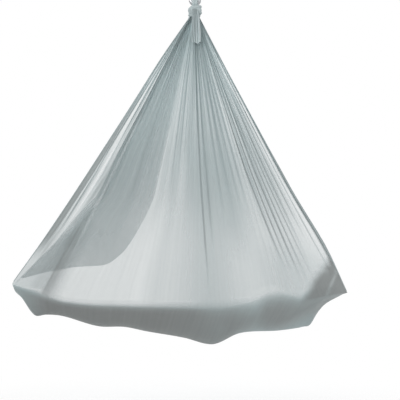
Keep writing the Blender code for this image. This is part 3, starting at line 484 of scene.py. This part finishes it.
def stretched(slope, drop):
    """How dense stretched cloth is: thinner further down, least in the middle, most at the head."""
    taut = 1.0 - 0.45 * ease(0.65, 1.10, drop)
    taut = taut * (1 + 0.35 * ease(-0.25, -0.12, slope) * ease(0.15, 0.40, drop))
    taut = taut * (1 + 0.55 * ease(-0.10, 0.06, slope) * ease(0.35, 0.80, drop))
    taut = taut * (1 - 0.36 * ease(0.17, 0.30, slope) * (1 - 0.6 * ease(1.0, 1.2, drop)))
    taut = taut * (1 - 0.20 * ease(0.38, 0.47, slope))
    return taut * (1 - 0.34 * bell(slope, 0.19, 0.08) * ease(0.95, 1.2, drop))


def panel_looks(side, share, points, flat):
    """How dense a panel is against one flat layer, and its tone with painted light and shade, by place.
    """
    slope, drop = seen_place(flat)
    longer = np.linalg.norm(np.gradient(points, axis=1), axis=-1)
    longer /= np.linalg.norm(np.gradient(flat, axis=1), axis=-1)
    high = 1 - ease(0.40, 0.70, drop)
    lines = line_sum(lines_of(side), slope, drop) * (1 + 0.6 * high)
    lines = lines + fine_lines(lane_of(side, share), drop, 0.4 if side < 0 else 2.3)
    lines = lines + hem_lines(side, flat[..., 0], drop)
    if side < 0:
        lines = lines + head_fold_shade(slope, drop)
    density = longer.clip(1, 3) ** 0.6 * (stretched(slope, drop) + 2.4 * bell(drop, 0.05, 0.30))
    if side > 0:
        density *= 1 + 1.3 * (1 - ease(-0.56, -0.48, slope)) * ease(0.5, 1.0, drop)
    else:
        density *= 1 + 0.7 * (1 - ease(-0.42, -0.20, slope)) * (1 - ease(1.02, 1.16, drop))
    # Painted light: the tone is lifted near the top, against the shade of the gathered cloth
    tone = (1.0 + 0.75 * bell(drop, 0.0, 0.45)) * (1 + 0.05 * high)
    # Painted shade: folds, hems and the head fold darken the colour, most high up; pale lines lighten
    # it
    dark = (1 - high) * LOW_FOLD_DARK * lines.clip(0, 2.0)
    dark = dark + high * HIGH_FOLD_DARK * (1 - np.exp(-1.6 * lines.clip(0, 3)))
    tone = tone * (1 - dark) * (1 + (0.12 + 0.14 * high) * (-lines).clip(0, 1))
    return density * np.exp(lines), tone


def make_sheet(material):
    """The whole cloth as one surface, from the front knot round the trough to the rear knot."""
    share = gathered_share(np.linspace(0, 1, COLUMNS))[None, :]
    share_grid, t_grid = np.broadcast_arrays(share, PANEL_STEPS[:, None])
    angle = np.linspace(0, math.pi, TROUGH_ROWS)[1:-1, None]
    panels = []
    looks = []
    for side in (-1, 1):
        points = panel(side, share_grid, t_grid, panel_ripple(side, share_grid, t_grid))
        panels.append(points)
        looks.append(panel_looks(side, share_grid, points, panel(side, share_grid, t_grid)))
    front, rear = panels
    angle_share, angle_grid = np.broadcast_arrays(share, angle)
    low = trough(angle_share, angle_grid)
    low_density, low_tone = trough_looks(angle_share, angle_grid)
    neck_front = make_neck(front[0], -1)
    neck_rear = make_neck(rear[0], 1)
    points = np.concatenate([neck_front[:-1], front, low, rear[::-1], neck_rear[:-1][::-1]])
    high = np.full((NECK_ROWS - 1, COLUMNS), NECK_DENSITY)
    # The necks' tone is painted light
    bright = np.full((NECK_ROWS - 1, COLUMNS), NECK_TONE)
    density = np.concatenate([high, looks[0][0], low_density, looks[1][0][::-1], high])
    tone = np.concatenate([bright, looks[0][1], low_tone, looks[1][1][::-1], bright])
    along = np.linalg.norm(np.diff(points[:, COLUMNS // 2], axis=0), axis=-1)
    u, v = np.meshgrid(np.linspace(0, MAP_WIDTH, COLUMNS), np.concatenate([[0], np.cumsum(along)]))
    grids = [(points, 1 - np.exp(-LAYER_DEPTH * density), tone, u, v), flap_grid()]
    points, covers, tones, us, vs = zip(*grids)
    obj = grid_object("sheet_of_cloth", list(points), material)
    add_values(obj, "cover", np.concatenate([c.ravel() for c in covers]))
    add_values(obj, "tone", np.concatenate([s.ravel() for s in tones]))
    add_map(obj, np.concatenate([c.ravel() for c in us]), np.concatenate([c.ravel() for c in vs]))
    return obj, front, rear


def make_neck(top_row, side):
    """Rows that carry the pleated top of a panel up into its knot."""
    centre = np.array([0.0, side * (ROD_Y + KNOT_DROP * math.sin(CARABINER_TILT)),
                       ROD_Z - KNOT_DROP * math.cos(CARABINER_TILT)])
    middle = top_row.mean(axis=0)
    rows = []
    for k in np.linspace(1, 0, NECK_ROWS):
        lift = ease(0, 1, k)
        drawn = middle + (top_row - middle) * np.array([1 - 0.35 * lift, 1 - 0.25 * lift, 1.0])
        rows.append(drawn + (centre - middle) * k)
    return np.array(rows)


# Where the painted shade of the trough's band begins, as seen from the front: x, drop, and how far it
# takes
BAND_TOP = (
    (-0.846, 1.262, 0.030), (-0.773, 1.292, 0.035), (-0.718, 1.314, 0.045), (-0.662, 1.336, 0.045),
    (-0.607, 1.350, 0.040), (-0.524, 1.361, 0.040), (-0.442, 1.367, 0.045), (-0.25, 1.373, 0.055),
    (0.0, 1.373, 0.075), (0.055, 1.375, 0.110), (0.253, 1.376, 0.120), (0.290, 1.368, 0.120),
    (0.331, 1.346, 0.105), (0.391, 1.336, 0.105), (0.483, 1.338, 0.095), (0.529, 1.300, 0.060),
    (0.575, 1.240, 0.050), (0.715, 1.160, 0.050),
)

# How light the trough's band of painted shade is: x, near the top of its dark, and along the bottom,
# where painted light lifts the underside
BAND_TONE = (
    (-0.80, 0.88, 0.93), (-0.74, 0.72, 0.77), (-0.68, 0.56, 0.59), (-0.15, 0.57, 0.61),
    (0.0, 0.62, 0.64), (0.11, 0.70, 0.72), (0.17, 0.66, 0.76), (0.28, 0.76, 1.00),
    (0.33, 0.66, 0.95), (0.39, 0.65, 0.95), (0.50, 0.74, 1.00),
)


def across_band(band, x):
    """The two values beside x of one of these lists, between its entries."""
    places, first, second = zip(*band)
    return np.interp(x, places, first), np.interp(x, places, second)


def trough_looks(share, angle):
    """The density and the tone of the cloth in the trough, with its band of painted shade."""
    slope, drop = seen_place(trough(share, angle))
    x = slope * drop
    begin, reach = across_band(BAND_TOP, x)
    high, low = across_band(BAND_TONE, x)
    shown = ease(-0.5, 0.5, (drop - begin) / reach)
    rim = np.minimum(angle, math.pi - angle) / (math.pi / 2)
    tone = high + (low - high) * ease(0.40, 0.95, rim)
    return SLACK_DENSITY + BAND_SHADE_DENSITY * shown, tone + (1 - shown) * 0.35


# The third layer: the front panel's foot edge turned back behind it. Its selvedge: (slope, drop)
FLAP_EDGE = ((-0.216, 0.050), (-0.222, 0.232), (-0.218, 0.306), (-0.205, 0.390), (-0.204, 0.500),
             (-0.215, 0.590), (-0.216, 0.700), (-0.2185, 0.780), (-0.2165, 0.850), (-0.225, 0.900),
             (-0.240, 0.955), (-0.2671, 1.042), (-0.2793, 1.079), (-0.296, 1.118), (-0.3165, 1.143),
             (-0.334, 1.166), (-0.355, 1.177), (-0.402, 1.180), (-0.4707, 1.184), (-0.5116, 1.195),
             (-0.5736, 1.2093), (-0.6067, 1.2245), (-0.645, 1.238))


def flap_seen():
    """The turned-back layer as seen from the front: x and drop, with the way from fold to selvedge."""
    edge = np.array(FLAP_EDGE)
    corners = np.stack([edge[:, 0] * edge[:, 1], edge[:, 1]], axis=1)
    steps = np.concatenate([[0], np.cumsum(np.linalg.norm(np.diff(corners, axis=0), axis=1))])
    where = np.linspace(0, steps[-1], FLAP_ROWS)
    inner = np.stack([np.interp(where, steps, corners[:, k]) for k in (0, 1)], axis=1)
    for _ in range(3):
        inner[1:-1] = (inner[:-2] + 2 * inner[1:-1] + inner[2:]) / 4
    fold_slope, fold_drop = seen_place(panel(-1, np.zeros(400), np.linspace(0, 1, 400)))
    outer_drop = np.interp(where / steps[-1], (0, 0.42, 1), (0.05, 0.62, 1.236))
    outer = np.stack([np.interp(outer_drop, fold_drop, fold_slope) * outer_drop, outer_drop], axis=1)
    across = np.linspace(0, 1, FLAP_COLUMNS)[None, :, None]
    seen = outer[:, None] * (1 - across) + inner[:, None] * across
    return seen[..., 0], seen[..., 1], across[..., 0]


def flap_looks(x, drop, across):
    """How dense the turned-back layer is against one flat layer, and its tone."""
    density = 1.60 + 2.4 * bell(drop, 0.05, 0.30)
    density = density * (1 - 0.45 * across ** 3 * (1 - 0.8 * ease(0.95, 1.12, drop)))
    density = density * np.exp(0.5 * fine_lines(x / drop, drop, 1.7))
    density = density * (1 - 0.6 * (1 - ease(0.0, 0.12, across)) * soft_start(drop))
    # Painted light near the top, as on the panels; darker further down
    tone = (1.0 + 0.75 * bell(drop, 0.0, 0.45)) * (0.97 - 0.12 * ease(0.3, 1.0, drop))
    return density, tone


def flap_grid():
    """The turned-back layer as a grid of points with its cover, tone and map."""
    x, drop, across = flap_seen()
    t = 0.5 + 0 * drop
    for _ in range(12):
        depth = -PANEL_TOP_Y - (FLAP_DEPTH - PANEL_TOP_Y) * t * ease(-1.0, 0.0, x)
        z = VIEW_Z + (APEX_HEIGHT - drop - VIEW_Z) * (1 + depth / VIEW_DISTANCE)
        t = ((APEX_HEIGHT - z) / (APEX_HEIGHT - FLAP_LOW_Z)).clip(0, 1)
    world_x = VIEW_X + (x - VIEW_X) * (1 + depth / VIEW_DISTANCE)
    share, t = share_and_t(world_x, z)
    base = panel(-1, share, t)
    inward = 0.006 + 0.014 * np.sin(math.pi * across ** 0.6)
    inward = inward * (1 - 0.75 * (1 - ease(0.0, 0.3, drop)))
    points = base + np.stack([0 * drop, inward, 0 * drop], axis=-1)
    density, tone = flap_looks(x, drop, across)
    return points, 1 - np.exp(-LAYER_DEPTH * density), tone, x, drop


def share_and_t(x, z):
    """Where on the front panel a point in x and z lies."""
    share = np.full(x.shape, 0.3)
    t = np.full(x.shape, 0.5)
    for _ in range(30):
        at = panel(-1, share, t)
        reach = np.maximum(t, 0.05) * (FRONT_HEAD_X - FRONT_FOOT_X)
        share = (share + 0.8 * (x - at[..., 0]) / reach).clip(0, 1)
        t = (t + 0.9 * (at[..., 2] - z) / PANEL_HEIGHT).clip(0, 1)
    return share, t


def tube_along(name, path, widths, material, lobes=0, turns=0.0, cover=1.0, tone=1.0):
    """A tube round a path, flattened and lobed as a rolled or gathered edge is."""
    path = np.asarray(path, float)
    ahead = np.gradient(path, axis=0)
    ahead /= np.linalg.norm(ahead, axis=1)[:, None]
    across = np.cross(ahead, (0.0, 1.0, 0.0))
    across /= np.linalg.norm(across, axis=1)[:, None]
    out = np.cross(across, ahead)
    angle = np.linspace(0, 2 * math.pi, HEM_SIDES, endpoint=False)[None, :]
    twist = np.linspace(0, 2 * math.pi * turns, len(path))[:, None]
    lobed = 1 + 0.14 * np.cos(lobes * angle + twist) * (lobes > 0)
    size = np.asarray(widths, float).reshape(-1, 1) * lobed
    points = path[:, None] + across[:, None] * (size * np.cos(angle))[..., None]
    points = points + out[:, None] * (size * HEM_FLATNESS * np.sin(angle))[..., None]
    obj = grid_object(name, points, material, across_closed=True)
    add_values(obj, "cover", np.full(points.shape[:2], cover))
    add_values(obj, "tone", np.full(points.shape[:2], tone))
    length = np.concatenate([[0], np.cumsum(np.linalg.norm(np.diff(path, axis=0), axis=1))])
    add_map(obj, *np.meshgrid(np.linspace(0, HEM_MAP_WIDTH, HEM_SIDES), length))
    return obj


def new_material(name):
    material = bpy.data.materials.new(name)
    material.use_nodes = True
    tree = material.node_tree
    tree.nodes.clear()
    return material, tree


def node(tree, kind, **settings):
    made = tree.nodes.new(kind)
    for key, value in settings.items():
        if key in made.inputs:
            made.inputs[key].default_value = value
        else:
            setattr(made, key, value)
    return made


def link(tree, start, end):
    tree.links.new(start, end)


def math_node(tree, operation, first, second=None, clamp=False):
    made = tree.nodes.new("ShaderNodeMath")
    made.operation = operation
    made.use_clamp = clamp
    for socket, value in zip(made.inputs, (first, second)):
        if value is None:
            continue
        if isinstance(value, (int, float)):
            socket.default_value = value
        else:
            link(tree, value, socket)
    return made.outputs[0]


def attribute(tree, name):
    return node(tree, "ShaderNodeAttribute", attribute_name=name).outputs["Fac"]


def noise(tree, vector, scale, detail, roughness=0.5, stretch=None):
    if stretch is not None:
        mapping = node(tree, "ShaderNodeMapping")
        mapping.inputs["Scale"].default_value = stretch
        link(tree, vector, mapping.inputs["Vector"])
        vector = mapping.outputs[0]
    made = node(tree, "ShaderNodeTexNoise", Scale=scale, Detail=detail, Roughness=roughness)
    link(tree, vector, made.inputs["Vector"])
    return made.outputs["Fac"]


def mix_colour(tree, factor, first, second):
    made = tree.nodes.new("ShaderNodeMix")
    made.data_type = "RGBA"
    link(tree, factor, made.inputs[0])
    for socket, value in ((made.inputs[6], first), (made.inputs[7], second)):
        if hasattr(value, "is_output"):
            link(tree, value, socket)
        else:
            socket.default_value = (*value, 1.0)
    return made.outputs[2]


def mix_shader(tree, factor, first, second):
    made = tree.nodes.new("ShaderNodeMixShader")
    if isinstance(factor, float):
        made.inputs[0].default_value = factor
    else:
        link(tree, factor, made.inputs[0])
    link(tree, first, made.inputs[1])
    link(tree, second, made.inputs[2])
    return made.outputs[0]


def map_range(tree, value, low, high, **settings):
    """value as a share of the way from low to high."""
    made = node(tree, "ShaderNodeMapRange", **settings)
    made.inputs["From Min"].default_value = low
    made.inputs["From Max"].default_value = high
    link(tree, value, made.inputs["Value"])
    return made.outputs[0]


def to_output(tree, shader, kind="ShaderNodeOutputMaterial"):
    link(tree, shader, node(tree, kind).inputs["Surface"])


def seen_ray(tree):
    """1 for a ray from the camera, or one mirrored by metal or passed on by glass, else 0."""
    rays = node(tree, "ShaderNodeLightPath")
    seen = math_node(tree, "ADD", rays.outputs["Is Camera Ray"], rays.outputs["Is Glossy Ray"],
                     clamp=True)
    return math_node(tree, "ADD", seen, rays.outputs["Is Transmission Ray"], clamp=True)


def bumped(tree, height, strength, distance):
    made = node(tree, "ShaderNodeBump", Strength=strength, Distance=distance)
    link(tree, height, made.inputs["Height"])
    return made.outputs[0]


# The cloth's colour: as it is, greyer where painted shade darkens it, and paler where painted light
# lifts the gathered cloth
CLOTH_COLOUR = (0.385, 0.448, 0.455)
CLOTH_SHADE_GREY = (0.430, 0.445, 0.440)
CLOTH_LIT_PALE = (0.420, 0.458, 0.462)

# The knit's pitch across its ribs and along them
KNIT_RIB = 0.0016
KNIT_CRIMP = 0.0024


def knit_height(tree, uv):
    """The knit's fine ribs along the cloth, with small crimps across them."""
    split = node(tree, "ShaderNodeSeparateXYZ")
    link(tree, uv, split.inputs[0])
    pitches = ((split.outputs["X"], KNIT_RIB), (split.outputs["Y"], KNIT_CRIMP))
    ribs, crimps = [math_node(tree, "SINE", math_node(tree, "MULTIPLY", way, 2 * math.pi / pitch))
                    for way, pitch in pitches]
    return math_node(tree, "ADD", ribs, math_node(tree, "MULTIPLY", crimps, 0.5))


def cloth_material(name, see_through):
    """Knitted tricot with streaks along it. See-through, it hides what is behind by "cover"."""
    material, tree = new_material(name)
    uv = node(tree, "ShaderNodeUVMap", uv_map="cloth").outputs[0]
    place = node(tree, "ShaderNodeTexCoord").outputs["Object"]
    streaks = noise(tree, uv, 1.0, 2.0, 0.5, stretch=(70.0, 0.5, 1.0))
    patches = noise(tree, place, 4.0, 2.0)
    # The tone holds the painted shade of folds, hems and the trough's band and the painted light on the
    # gathered cloth: it greys or pales the colour and scales it
    tone = attribute(tree, "tone")
    tint = mix_colour(tree, map_range(tree, tone, 0.55, 0.95), CLOTH_SHADE_GREY, CLOTH_COLOUR)
    tint = mix_colour(tree, map_range(tree, tone, 1.1, 1.6), tint, CLOTH_LIT_PALE)
    uneven = math_node(tree, "ADD", math_node(tree, "MULTIPLY", streaks, 0.10),
                       math_node(tree, "MULTIPLY", patches, 0.08))
    level = math_node(tree, "MULTIPLY", tone, math_node(tree, "ADD", uneven, 0.91))
    product = node(tree, "ShaderNodeVectorMath", operation="SCALE")
    link(tree, tint, product.inputs[0])
    link(tree, level, product.inputs["Scale"])
    colour = product.outputs[0]
    rough = math_node(tree, "ADD", math_node(tree, "MULTIPLY", streaks, 0.12), 0.50)
    height = math_node(tree, "ADD", knit_height(tree, uv), math_node(tree, "MULTIPLY", streaks, 2.0))
    normal = bumped(tree, height, 0.20, 0.0002)
    fibre = node(tree, "ShaderNodeBsdfPrincipled")
    link(tree, colour, fibre.inputs["Base Color"])
    link(tree, rough, fibre.inputs["Roughness"])
    link(tree, normal, fibre.inputs["Normal"])
    fibre.inputs["Specular IOR Level"].default_value = 0.25
    fibre.inputs["Sheen Weight"].default_value = 0.25
    fibre.inputs["Sheen Roughness"].default_value = 0.45
    if not see_through:
        to_output(tree, fibre.outputs[0])
        return material
    through = node(tree, "ShaderNodeBsdfTranslucent")
    link(tree, colour, through.inputs["Color"])
    link(tree, normal, through.inputs["Normal"])
    lit = mix_shader(tree, 0.5, fibre.outputs[0], through.outputs[0])
    clear = node(tree, "ShaderNodeBsdfTransparent")
    spread = math_node(tree, "ADD", math_node(tree, "MULTIPLY", streaks, 0.10), -0.05)
    cover = math_node(tree, "ADD", attribute(tree, "cover"), spread, clamp=True)
    to_output(tree, mix_shader(tree, cover, clear.outputs[0], lit))
    return material


# How high the metal's scratches stand against its brushed grain
SCRATCH_HEIGHT = 0.15


def metal_material(name, colour, roughness, grain, worn=None, wear_scale=60.0):
    """Metal with a brushed grain, uneven gloss, fine scratches and worn patches."""
    material, tree = new_material(name)
    place = node(tree, "ShaderNodeTexCoord").outputs["Object"]
    brushed = noise(tree, place, 1.0, 5.0, 0.65, stretch=grain)
    cloud = noise(tree, place, wear_scale, 4.0, 0.6)
    scratches = noise(tree, place, 1.0, 2.0, 0.8, stretch=(2600.0, 260.0, 180.0))
    ramp = node(tree, "ShaderNodeValToRGB")
    ramp.color_ramp.elements[0].position = 0.52
    ramp.color_ramp.elements[1].position = 0.66
    link(tree, cloud, ramp.inputs[0])
    patch = math_node(tree, "MULTIPLY", ramp.outputs[0], 0.6)
    dull = tuple(0.82 * c for c in colour)
    base = mix_colour(tree, brushed, dull, tuple(min(1.0, 1.12 * c) for c in colour))
    base = mix_colour(tree, patch, base, worn or tuple(min(1.0, 1.25 * c) for c in colour))
    rough = math_node(tree, "ADD", math_node(tree, "MULTIPLY", brushed, 0.18), roughness - 0.09)
    rough = math_node(tree, "ADD", rough, math_node(tree, "MULTIPLY", patch, -0.06))
    height = math_node(tree, "ADD", brushed, math_node(tree, "MULTIPLY", scratches, SCRATCH_HEIGHT))
    metal = node(tree, "ShaderNodeBsdfPrincipled", Metallic=1.0)
    link(tree, base, metal.inputs["Base Color"])
    link(tree, rough, metal.inputs["Roughness"])
    link(tree, bumped(tree, height, 0.25, 0.0002), metal.inputs["Normal"])
    to_output(tree, metal.outputs[0])
    return material


def rubber_material(name):
    material, tree = new_material(name)
    place = node(tree, "ShaderNodeTexCoord").outputs["Object"]
    fine = noise(tree, place, 900.0, 3.0)
    coarse = noise(tree, place, 120.0, 3.0)
    colour = mix_colour(tree, coarse, (0.020, 0.020, 0.021), (0.045, 0.045, 0.047))
    rough = math_node(tree, "ADD", math_node(tree, "MULTIPLY", coarse, 0.25), 0.55)
    rubber = node(tree, "ShaderNodeBsdfPrincipled")
    link(tree, colour, rubber.inputs["Base Color"])
    link(tree, rough, rubber.inputs["Roughness"])
    link(tree, bumped(tree, fine, 0.4, 0.0002), rubber.inputs["Normal"])
    to_output(tree, rubber.outputs[0])
    return material


def rod_frame(side):
    """From the frame of a lower carabiner's rod to the row frame."""
    return Matrix.Translation((0, side * ROD_Y, ROD_Z)) @ Matrix.Rotation(side * CARABINER_TILT, 4, "X")


def placed(points, side):
    frame_matrix = np.array(rod_frame(side))
    return points @ frame_matrix[:3, :3].T + frame_matrix[:3, 3]


def ring_path(radius_x, radius_y, height, lean):
    """A leaning, slightly sagging ring round the knot."""
    angle = np.linspace(0, 2 * math.pi, RING_POINTS, endpoint=False)
    x, y = radius_x * np.cos(angle), radius_y * np.sin(angle)
    z = height + math.tan(lean) * x + WRAP_SAG * np.sin(2 * angle)
    return np.stack([x, y, z], axis=1)


def rope_points(path, size, lobes, turns, sides):
    """A bundle of pleats round a closed path, as a grid of points."""
    ahead = np.roll(path, -1, axis=0) - np.roll(path, 1, axis=0)
    ahead /= np.linalg.norm(ahead, axis=1)[:, None]
    middle = path.mean(axis=0)
    out = path - middle
    out -= (out * ahead).sum(axis=1)[:, None] * ahead
    out /= np.linalg.norm(out, axis=1)[:, None]
    side_way = np.cross(ahead, out)
    angle = np.linspace(0, 2 * math.pi, sides, endpoint=False)[None, :]
    twist = np.linspace(0, 2 * math.pi * turns, len(path), endpoint=False)[:, None]
    wave = 0.5 + 0.5 * np.cos(lobes * angle + twist)
    radius = size * (0.86 + 0.14 * wave ** 0.6)
    points = path[:, None] + out[:, None] * (radius * np.cos(angle))[..., None]
    return points + side_way[:, None] * (radius * np.sin(angle))[..., None]


def make_knot(side, material):
    """The gathered cloth on a carabiner: a pleated heart, two loops, two wraps and a skirt."""
    name = "front" if side < 0 else "rear"
    made = []

    def add(label, points, along_closed=False):
        obj = grid_object(f"{name}_{label}", placed(points, side), material, across_closed=True,
                          along_closed=along_closed)
        rows, columns = points.shape[:2]
        add_values(obj, "tone", np.full((rows, columns), KNOT_TONE))
        add_map(obj, *even_map(KNOT_MAP[0], columns, KNOT_MAP[1], rows))
        made.append(obj)

    height = np.linspace(0.02, math.pi - 0.02, 40)[:, None]
    round_it = np.linspace(0, 2 * math.pi, 160, endpoint=False)[None, :]
    wander = 2.2 * np.cos(height) + 1.5 * np.sin(3 * round_it)
    pleat = 1 + 0.045 * np.cos(HEART_PLEATS * round_it + wander)
    heart = np.stack([
        KNOT_RADII[0] * HEART_SHARE * np.sin(height) * np.cos(round_it) * pleat,
        KNOT_RADII[1] * HEART_SHARE * np.sin(height) * np.sin(round_it) * pleat,
        -KNOT_DROP + KNOT_RADII[2] * np.cos(height) + 0 * round_it], axis=-1)
    add("knot_heart", heart)
    angle = np.linspace(0, 2 * math.pi, RING_POINTS, endpoint=False)
    reach = ROD_RADIUS + LOOP_GAP + LOOP_RADIUS
    for index, place in enumerate(LOOP_PLACES):
        x = place + 0.0015 * np.sin(angle + index)
        path = np.stack([x, reach * np.cos(angle), reach * np.sin(angle)], axis=1)
        add(f"knot_loop_{index + 1}", rope_points(path, LOOP_RADIUS, 9, 1.0, 40), along_closed=True)
    for index, (level, lean, scale) in enumerate(WRAPS):
        path = ring_path(KNOT_RADII[0] * WRAP_SHARES[0] * scale,
                         KNOT_RADII[1] * WRAP_SHARES[1] * scale, level, math.radians(-lean * side))
        add(f"knot_wrap_{index + 1}", rope_points(path, WRAP_RADIUS, 8, 3.0, 48), along_closed=True)
    down = np.linspace(0, 1, 14)[:, None]
    wander = 1.2 * np.sin(2 * round_it) + down
    fold = 1 + (0.05 + 0.12 * down) * np.cos(SKIRT_PLEATS * round_it + wander)
    flare = 0.80 + 0.20 * down ** 1.5
    skirt = np.stack([
        SKIRT_RADII[0] * flare * np.cos(round_it) * fold,
        SKIRT_RADII[1] * flare * np.sin(round_it) * fold,
        -KNOT_DROP - SKIRT_START - SKIRT_LENGTH * down + 0 * round_it], axis=-1)
    add("knot_skirt", skirt)
    for obj in made:
        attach(obj, "hammock")
    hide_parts(f"{name}_knot")
    return made


def make_tail(side, material):
    """The loose end of the cloth: gathered at the knot, spread into soft folds at its end."""
    name = "front" if side < 0 else "rear"
    rows, columns = 60, 120
    t = np.linspace(0, 1, rows)[:, None]
    across = np.linspace(-1, 1, columns)[None, :]
    clear = KNOT_RADII[1] * WRAP_SHARES[1] + TAIL_CLEARANCE
    spread = 0.55 + 0.45 * t ** 0.6
    wander = 2.4 * np.sin(2.2 * across + 1.4 * t) + 1.5 * t
    fold = TAIL_FOLD * (1 - 0.2 * t) * np.sin(13 * across + wander)
    uneven = 0.003 * t * np.sin(5 * across)
    x = 0.006 * np.sin(2.2 * t) + TAIL_HALF_WIDTH * spread * across
    y = side * (clear - TAIL_SETTLE * ease(0, 1, t)) + fold + 0 * x
    z = -KNOT_DROP - 0.004 - TAIL_LENGTH * t * (1 - 0.02 * across ** 2) - uneven
    points = np.stack([x, y, z + 0 * x], axis=-1)
    obj = grid_object(f"{name}_tail_cloth", placed(points, side), material)
    add_values(obj, "tone", np.full((rows, columns), KNOT_TONE))
    add_map(obj, *even_map(TAIL_MAP_WIDTH, columns, TAIL_LENGTH, rows))
    solid = obj.modifiers.new("Thickness", "SOLIDIFY")
    solid.thickness = TAIL_THICKNESS
    solid.offset = 0.0
    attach(obj, "hammock")
    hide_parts(f"{name}_tail")
    return obj


SHEER = cloth_material("tricot_sheet", True)
DENSE = cloth_material("tricot_gathered", False)

sheet, front_points, rear_points = make_sheet(SHEER)
edges = []
for label, points in (("front", front_points), ("rear", rear_points)):
    path = points[::2, -1]
    drop = APEX_HEIGHT - path[:, 2]
    widths = 0.0018 + 0.0032 * ease(0.35, 0.85, drop) * (1 - ease(1.08, 1.22, drop))
    edges.append(tube_along(f"{label}_head_hem", path - np.outer(widths, (0.7, 0, 0)), widths, DENSE,
                            lobes=5, turns=4, tone=(1.15 - 0.30 * ease(0.35, 0.75, drop))[:, None]))
path = front_points[::2, 0]
shown = 1 - 0.75 * ease(0.80, 0.92, APEX_HEIGHT - path[:, 2])
edges.append(tube_along("front_foot_hem", path, np.full(len(path), 0.0014), SHEER,
                        cover=shown[:, None]))
path = rear_points[::2, 0]
edges.append(tube_along("rear_foot_hem", path, np.full(len(path), 0.0017), DENSE))

knots = make_knot(-1, DENSE) + make_knot(1, DENSE)
tails = [make_tail(-1, DENSE), make_tail(1, DENSE)]

for obj in [sheet, *edges]:
    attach(obj, "hammock")
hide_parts("hammock_fabric")

ZINC = metal_material("brushed_zinc", (0.43, 0.44, 0.45), 0.38, (40.0, 900.0, 900.0))
ALUMINIUM = metal_material("satin_aluminium", (0.40, 0.415, 0.43), 0.32, (700.0, 700.0, 60.0))
DARK = metal_material("dark_satin_aluminium", (0.085, 0.09, 0.10), 0.38, (700.0, 700.0, 60.0),
                      worn=(0.30, 0.31, 0.32), wear_scale=180.0)
SPRING = metal_material("drawn_steel", (0.38, 0.38, 0.39), 0.30, (500.0, 500.0, 500.0))
RUBBER = rubber_material("moulded_rubber")
FINISH = {"zinc_steel": ZINC, "anodised_aluminium": ALUMINIUM, "dark_anodised_aluminium": DARK,
          "spring_steel": SPRING, "seal_rubber": RUBBER}
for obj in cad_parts.values():
    for slot in obj.material_slots:
        key = slot.material.name.split(".")[0] if slot.material else ""
        if key in FINISH:
            slot.material = FINISH[key]

# The floor turns from pale to white between the two distances of its fade
FLOOR_Z = -2.36
FLOOR_RADIUS = 60.0
FLOOR_FADE = (1.1, 2.3)
FLOOR_LIFT = 0.32
LIGHT_SIZE = 2.6


def make_floor():
    """A pale floor that keeps the shadow near its middle and turns to plain white further out."""
    radius = np.concatenate([[0.001], np.geomspace(0.3, FLOOR_RADIUS, 24)])[:, None]
    angle = np.linspace(0, 2 * math.pi, 96, endpoint=False)[None, :]
    level = FLOOR_Z + 0 * radius * angle
    points = np.stack([radius * np.cos(angle), radius * np.sin(angle), level], axis=-1)
    material, tree = new_material("pale_floor")
    floor = grid_object("floor", points, material, across_closed=True)
    place = node(tree, "ShaderNodeTexCoord").outputs["Object"]
    split = node(tree, "ShaderNodeSeparateXYZ")
    link(tree, place, split.inputs[0])
    square = math_node(tree, "ADD", math_node(tree, "POWER", split.outputs[0], 2.0),
                       math_node(tree, "POWER", split.outputs[1], 2.0))
    away = map_range(tree, math_node(tree, "SQRT", square), *FLOOR_FADE,
                     interpolation_type="SMOOTHSTEP")
    seen = seen_ray(tree)
    pale = node(tree, "ShaderNodeBsdfPrincipled", Roughness=0.8)
    pale.inputs["Base Color"].default_value = (0.80, 0.80, 0.80, 1)
    lift = node(tree, "ShaderNodeEmission")
    link(tree, math_node(tree, "MULTIPLY", seen, FLOOR_LIFT), lift.inputs["Strength"])
    near = node(tree, "ShaderNodeAddShader")
    link(tree, pale.outputs[0], near.inputs[0])
    link(tree, lift.outputs[0], near.inputs[1])
    white = node(tree, "ShaderNodeEmission", Strength=1.0)
    far = math_node(tree, "MULTIPLY", seen, away)
    to_output(tree, mix_shader(tree, far, near.outputs[0], white.outputs[0]))


def make_world():
    """A soft even light that is seen as plain white."""
    world = bpy.data.worlds.new("studio")
    bpy.context.scene.world = world
    world.use_nodes = True
    tree = world.node_tree
    tree.nodes.clear()
    dim = node(tree, "ShaderNodeBackground", Strength=0.50)
    dim.inputs["Color"].default_value = (0.97, 0.99, 1.0, 1)
    white = node(tree, "ShaderNodeBackground", Strength=1.0)
    white.inputs["Color"].default_value = (1, 1, 1, 1)
    to_output(tree, mix_shader(tree, seen_ray(tree), dim.outputs[0], white.outputs[0]),
              "ShaderNodeOutputWorld")


def area_light(name, place, target, power):
    data = bpy.data.lights.new(name, "AREA")
    data.shape = "SQUARE"
    data.size = LIGHT_SIZE
    data.energy = power
    lamp = bpy.data.objects.new(name, data)
    lamp.location = place
    lamp.rotation_mode = "QUATERNION"
    lamp.rotation_quaternion = (Vector(target) - Vector(place)).to_track_quat("-Z", "Y")
    bpy.context.scene.collection.objects.link(lamp)


make_floor()
make_world()
area_light("key", (-2.6, -4.2, 1.2), (0, 0, -1.1), 110)
area_light("fill", (3.4, -3.2, -0.2), (0, 0, -1.2), 45)
area_light("back", (1.5, 4.4, 1.0), (0, 0, -1.1), 60)

camera = bpy.data.objects.new("camera", bpy.data.cameras.new("camera"))
bpy.context.scene.collection.objects.link(camera)
camera.location = (VIEW_X, -VIEW_DISTANCE, VIEW_Z)
camera.rotation_euler = (math.radians(90), 0, 0)
camera.data.lens = 97.8
camera.data.sensor_width = 36
camera.data.clip_start = 0.05
camera.data.clip_end = 200
bpy.context.scene.camera = camera
bpy.context.scene.view_settings.view_transform = "Standard"
bpy.context.scene.cycles.transparent_max_bounces = 64
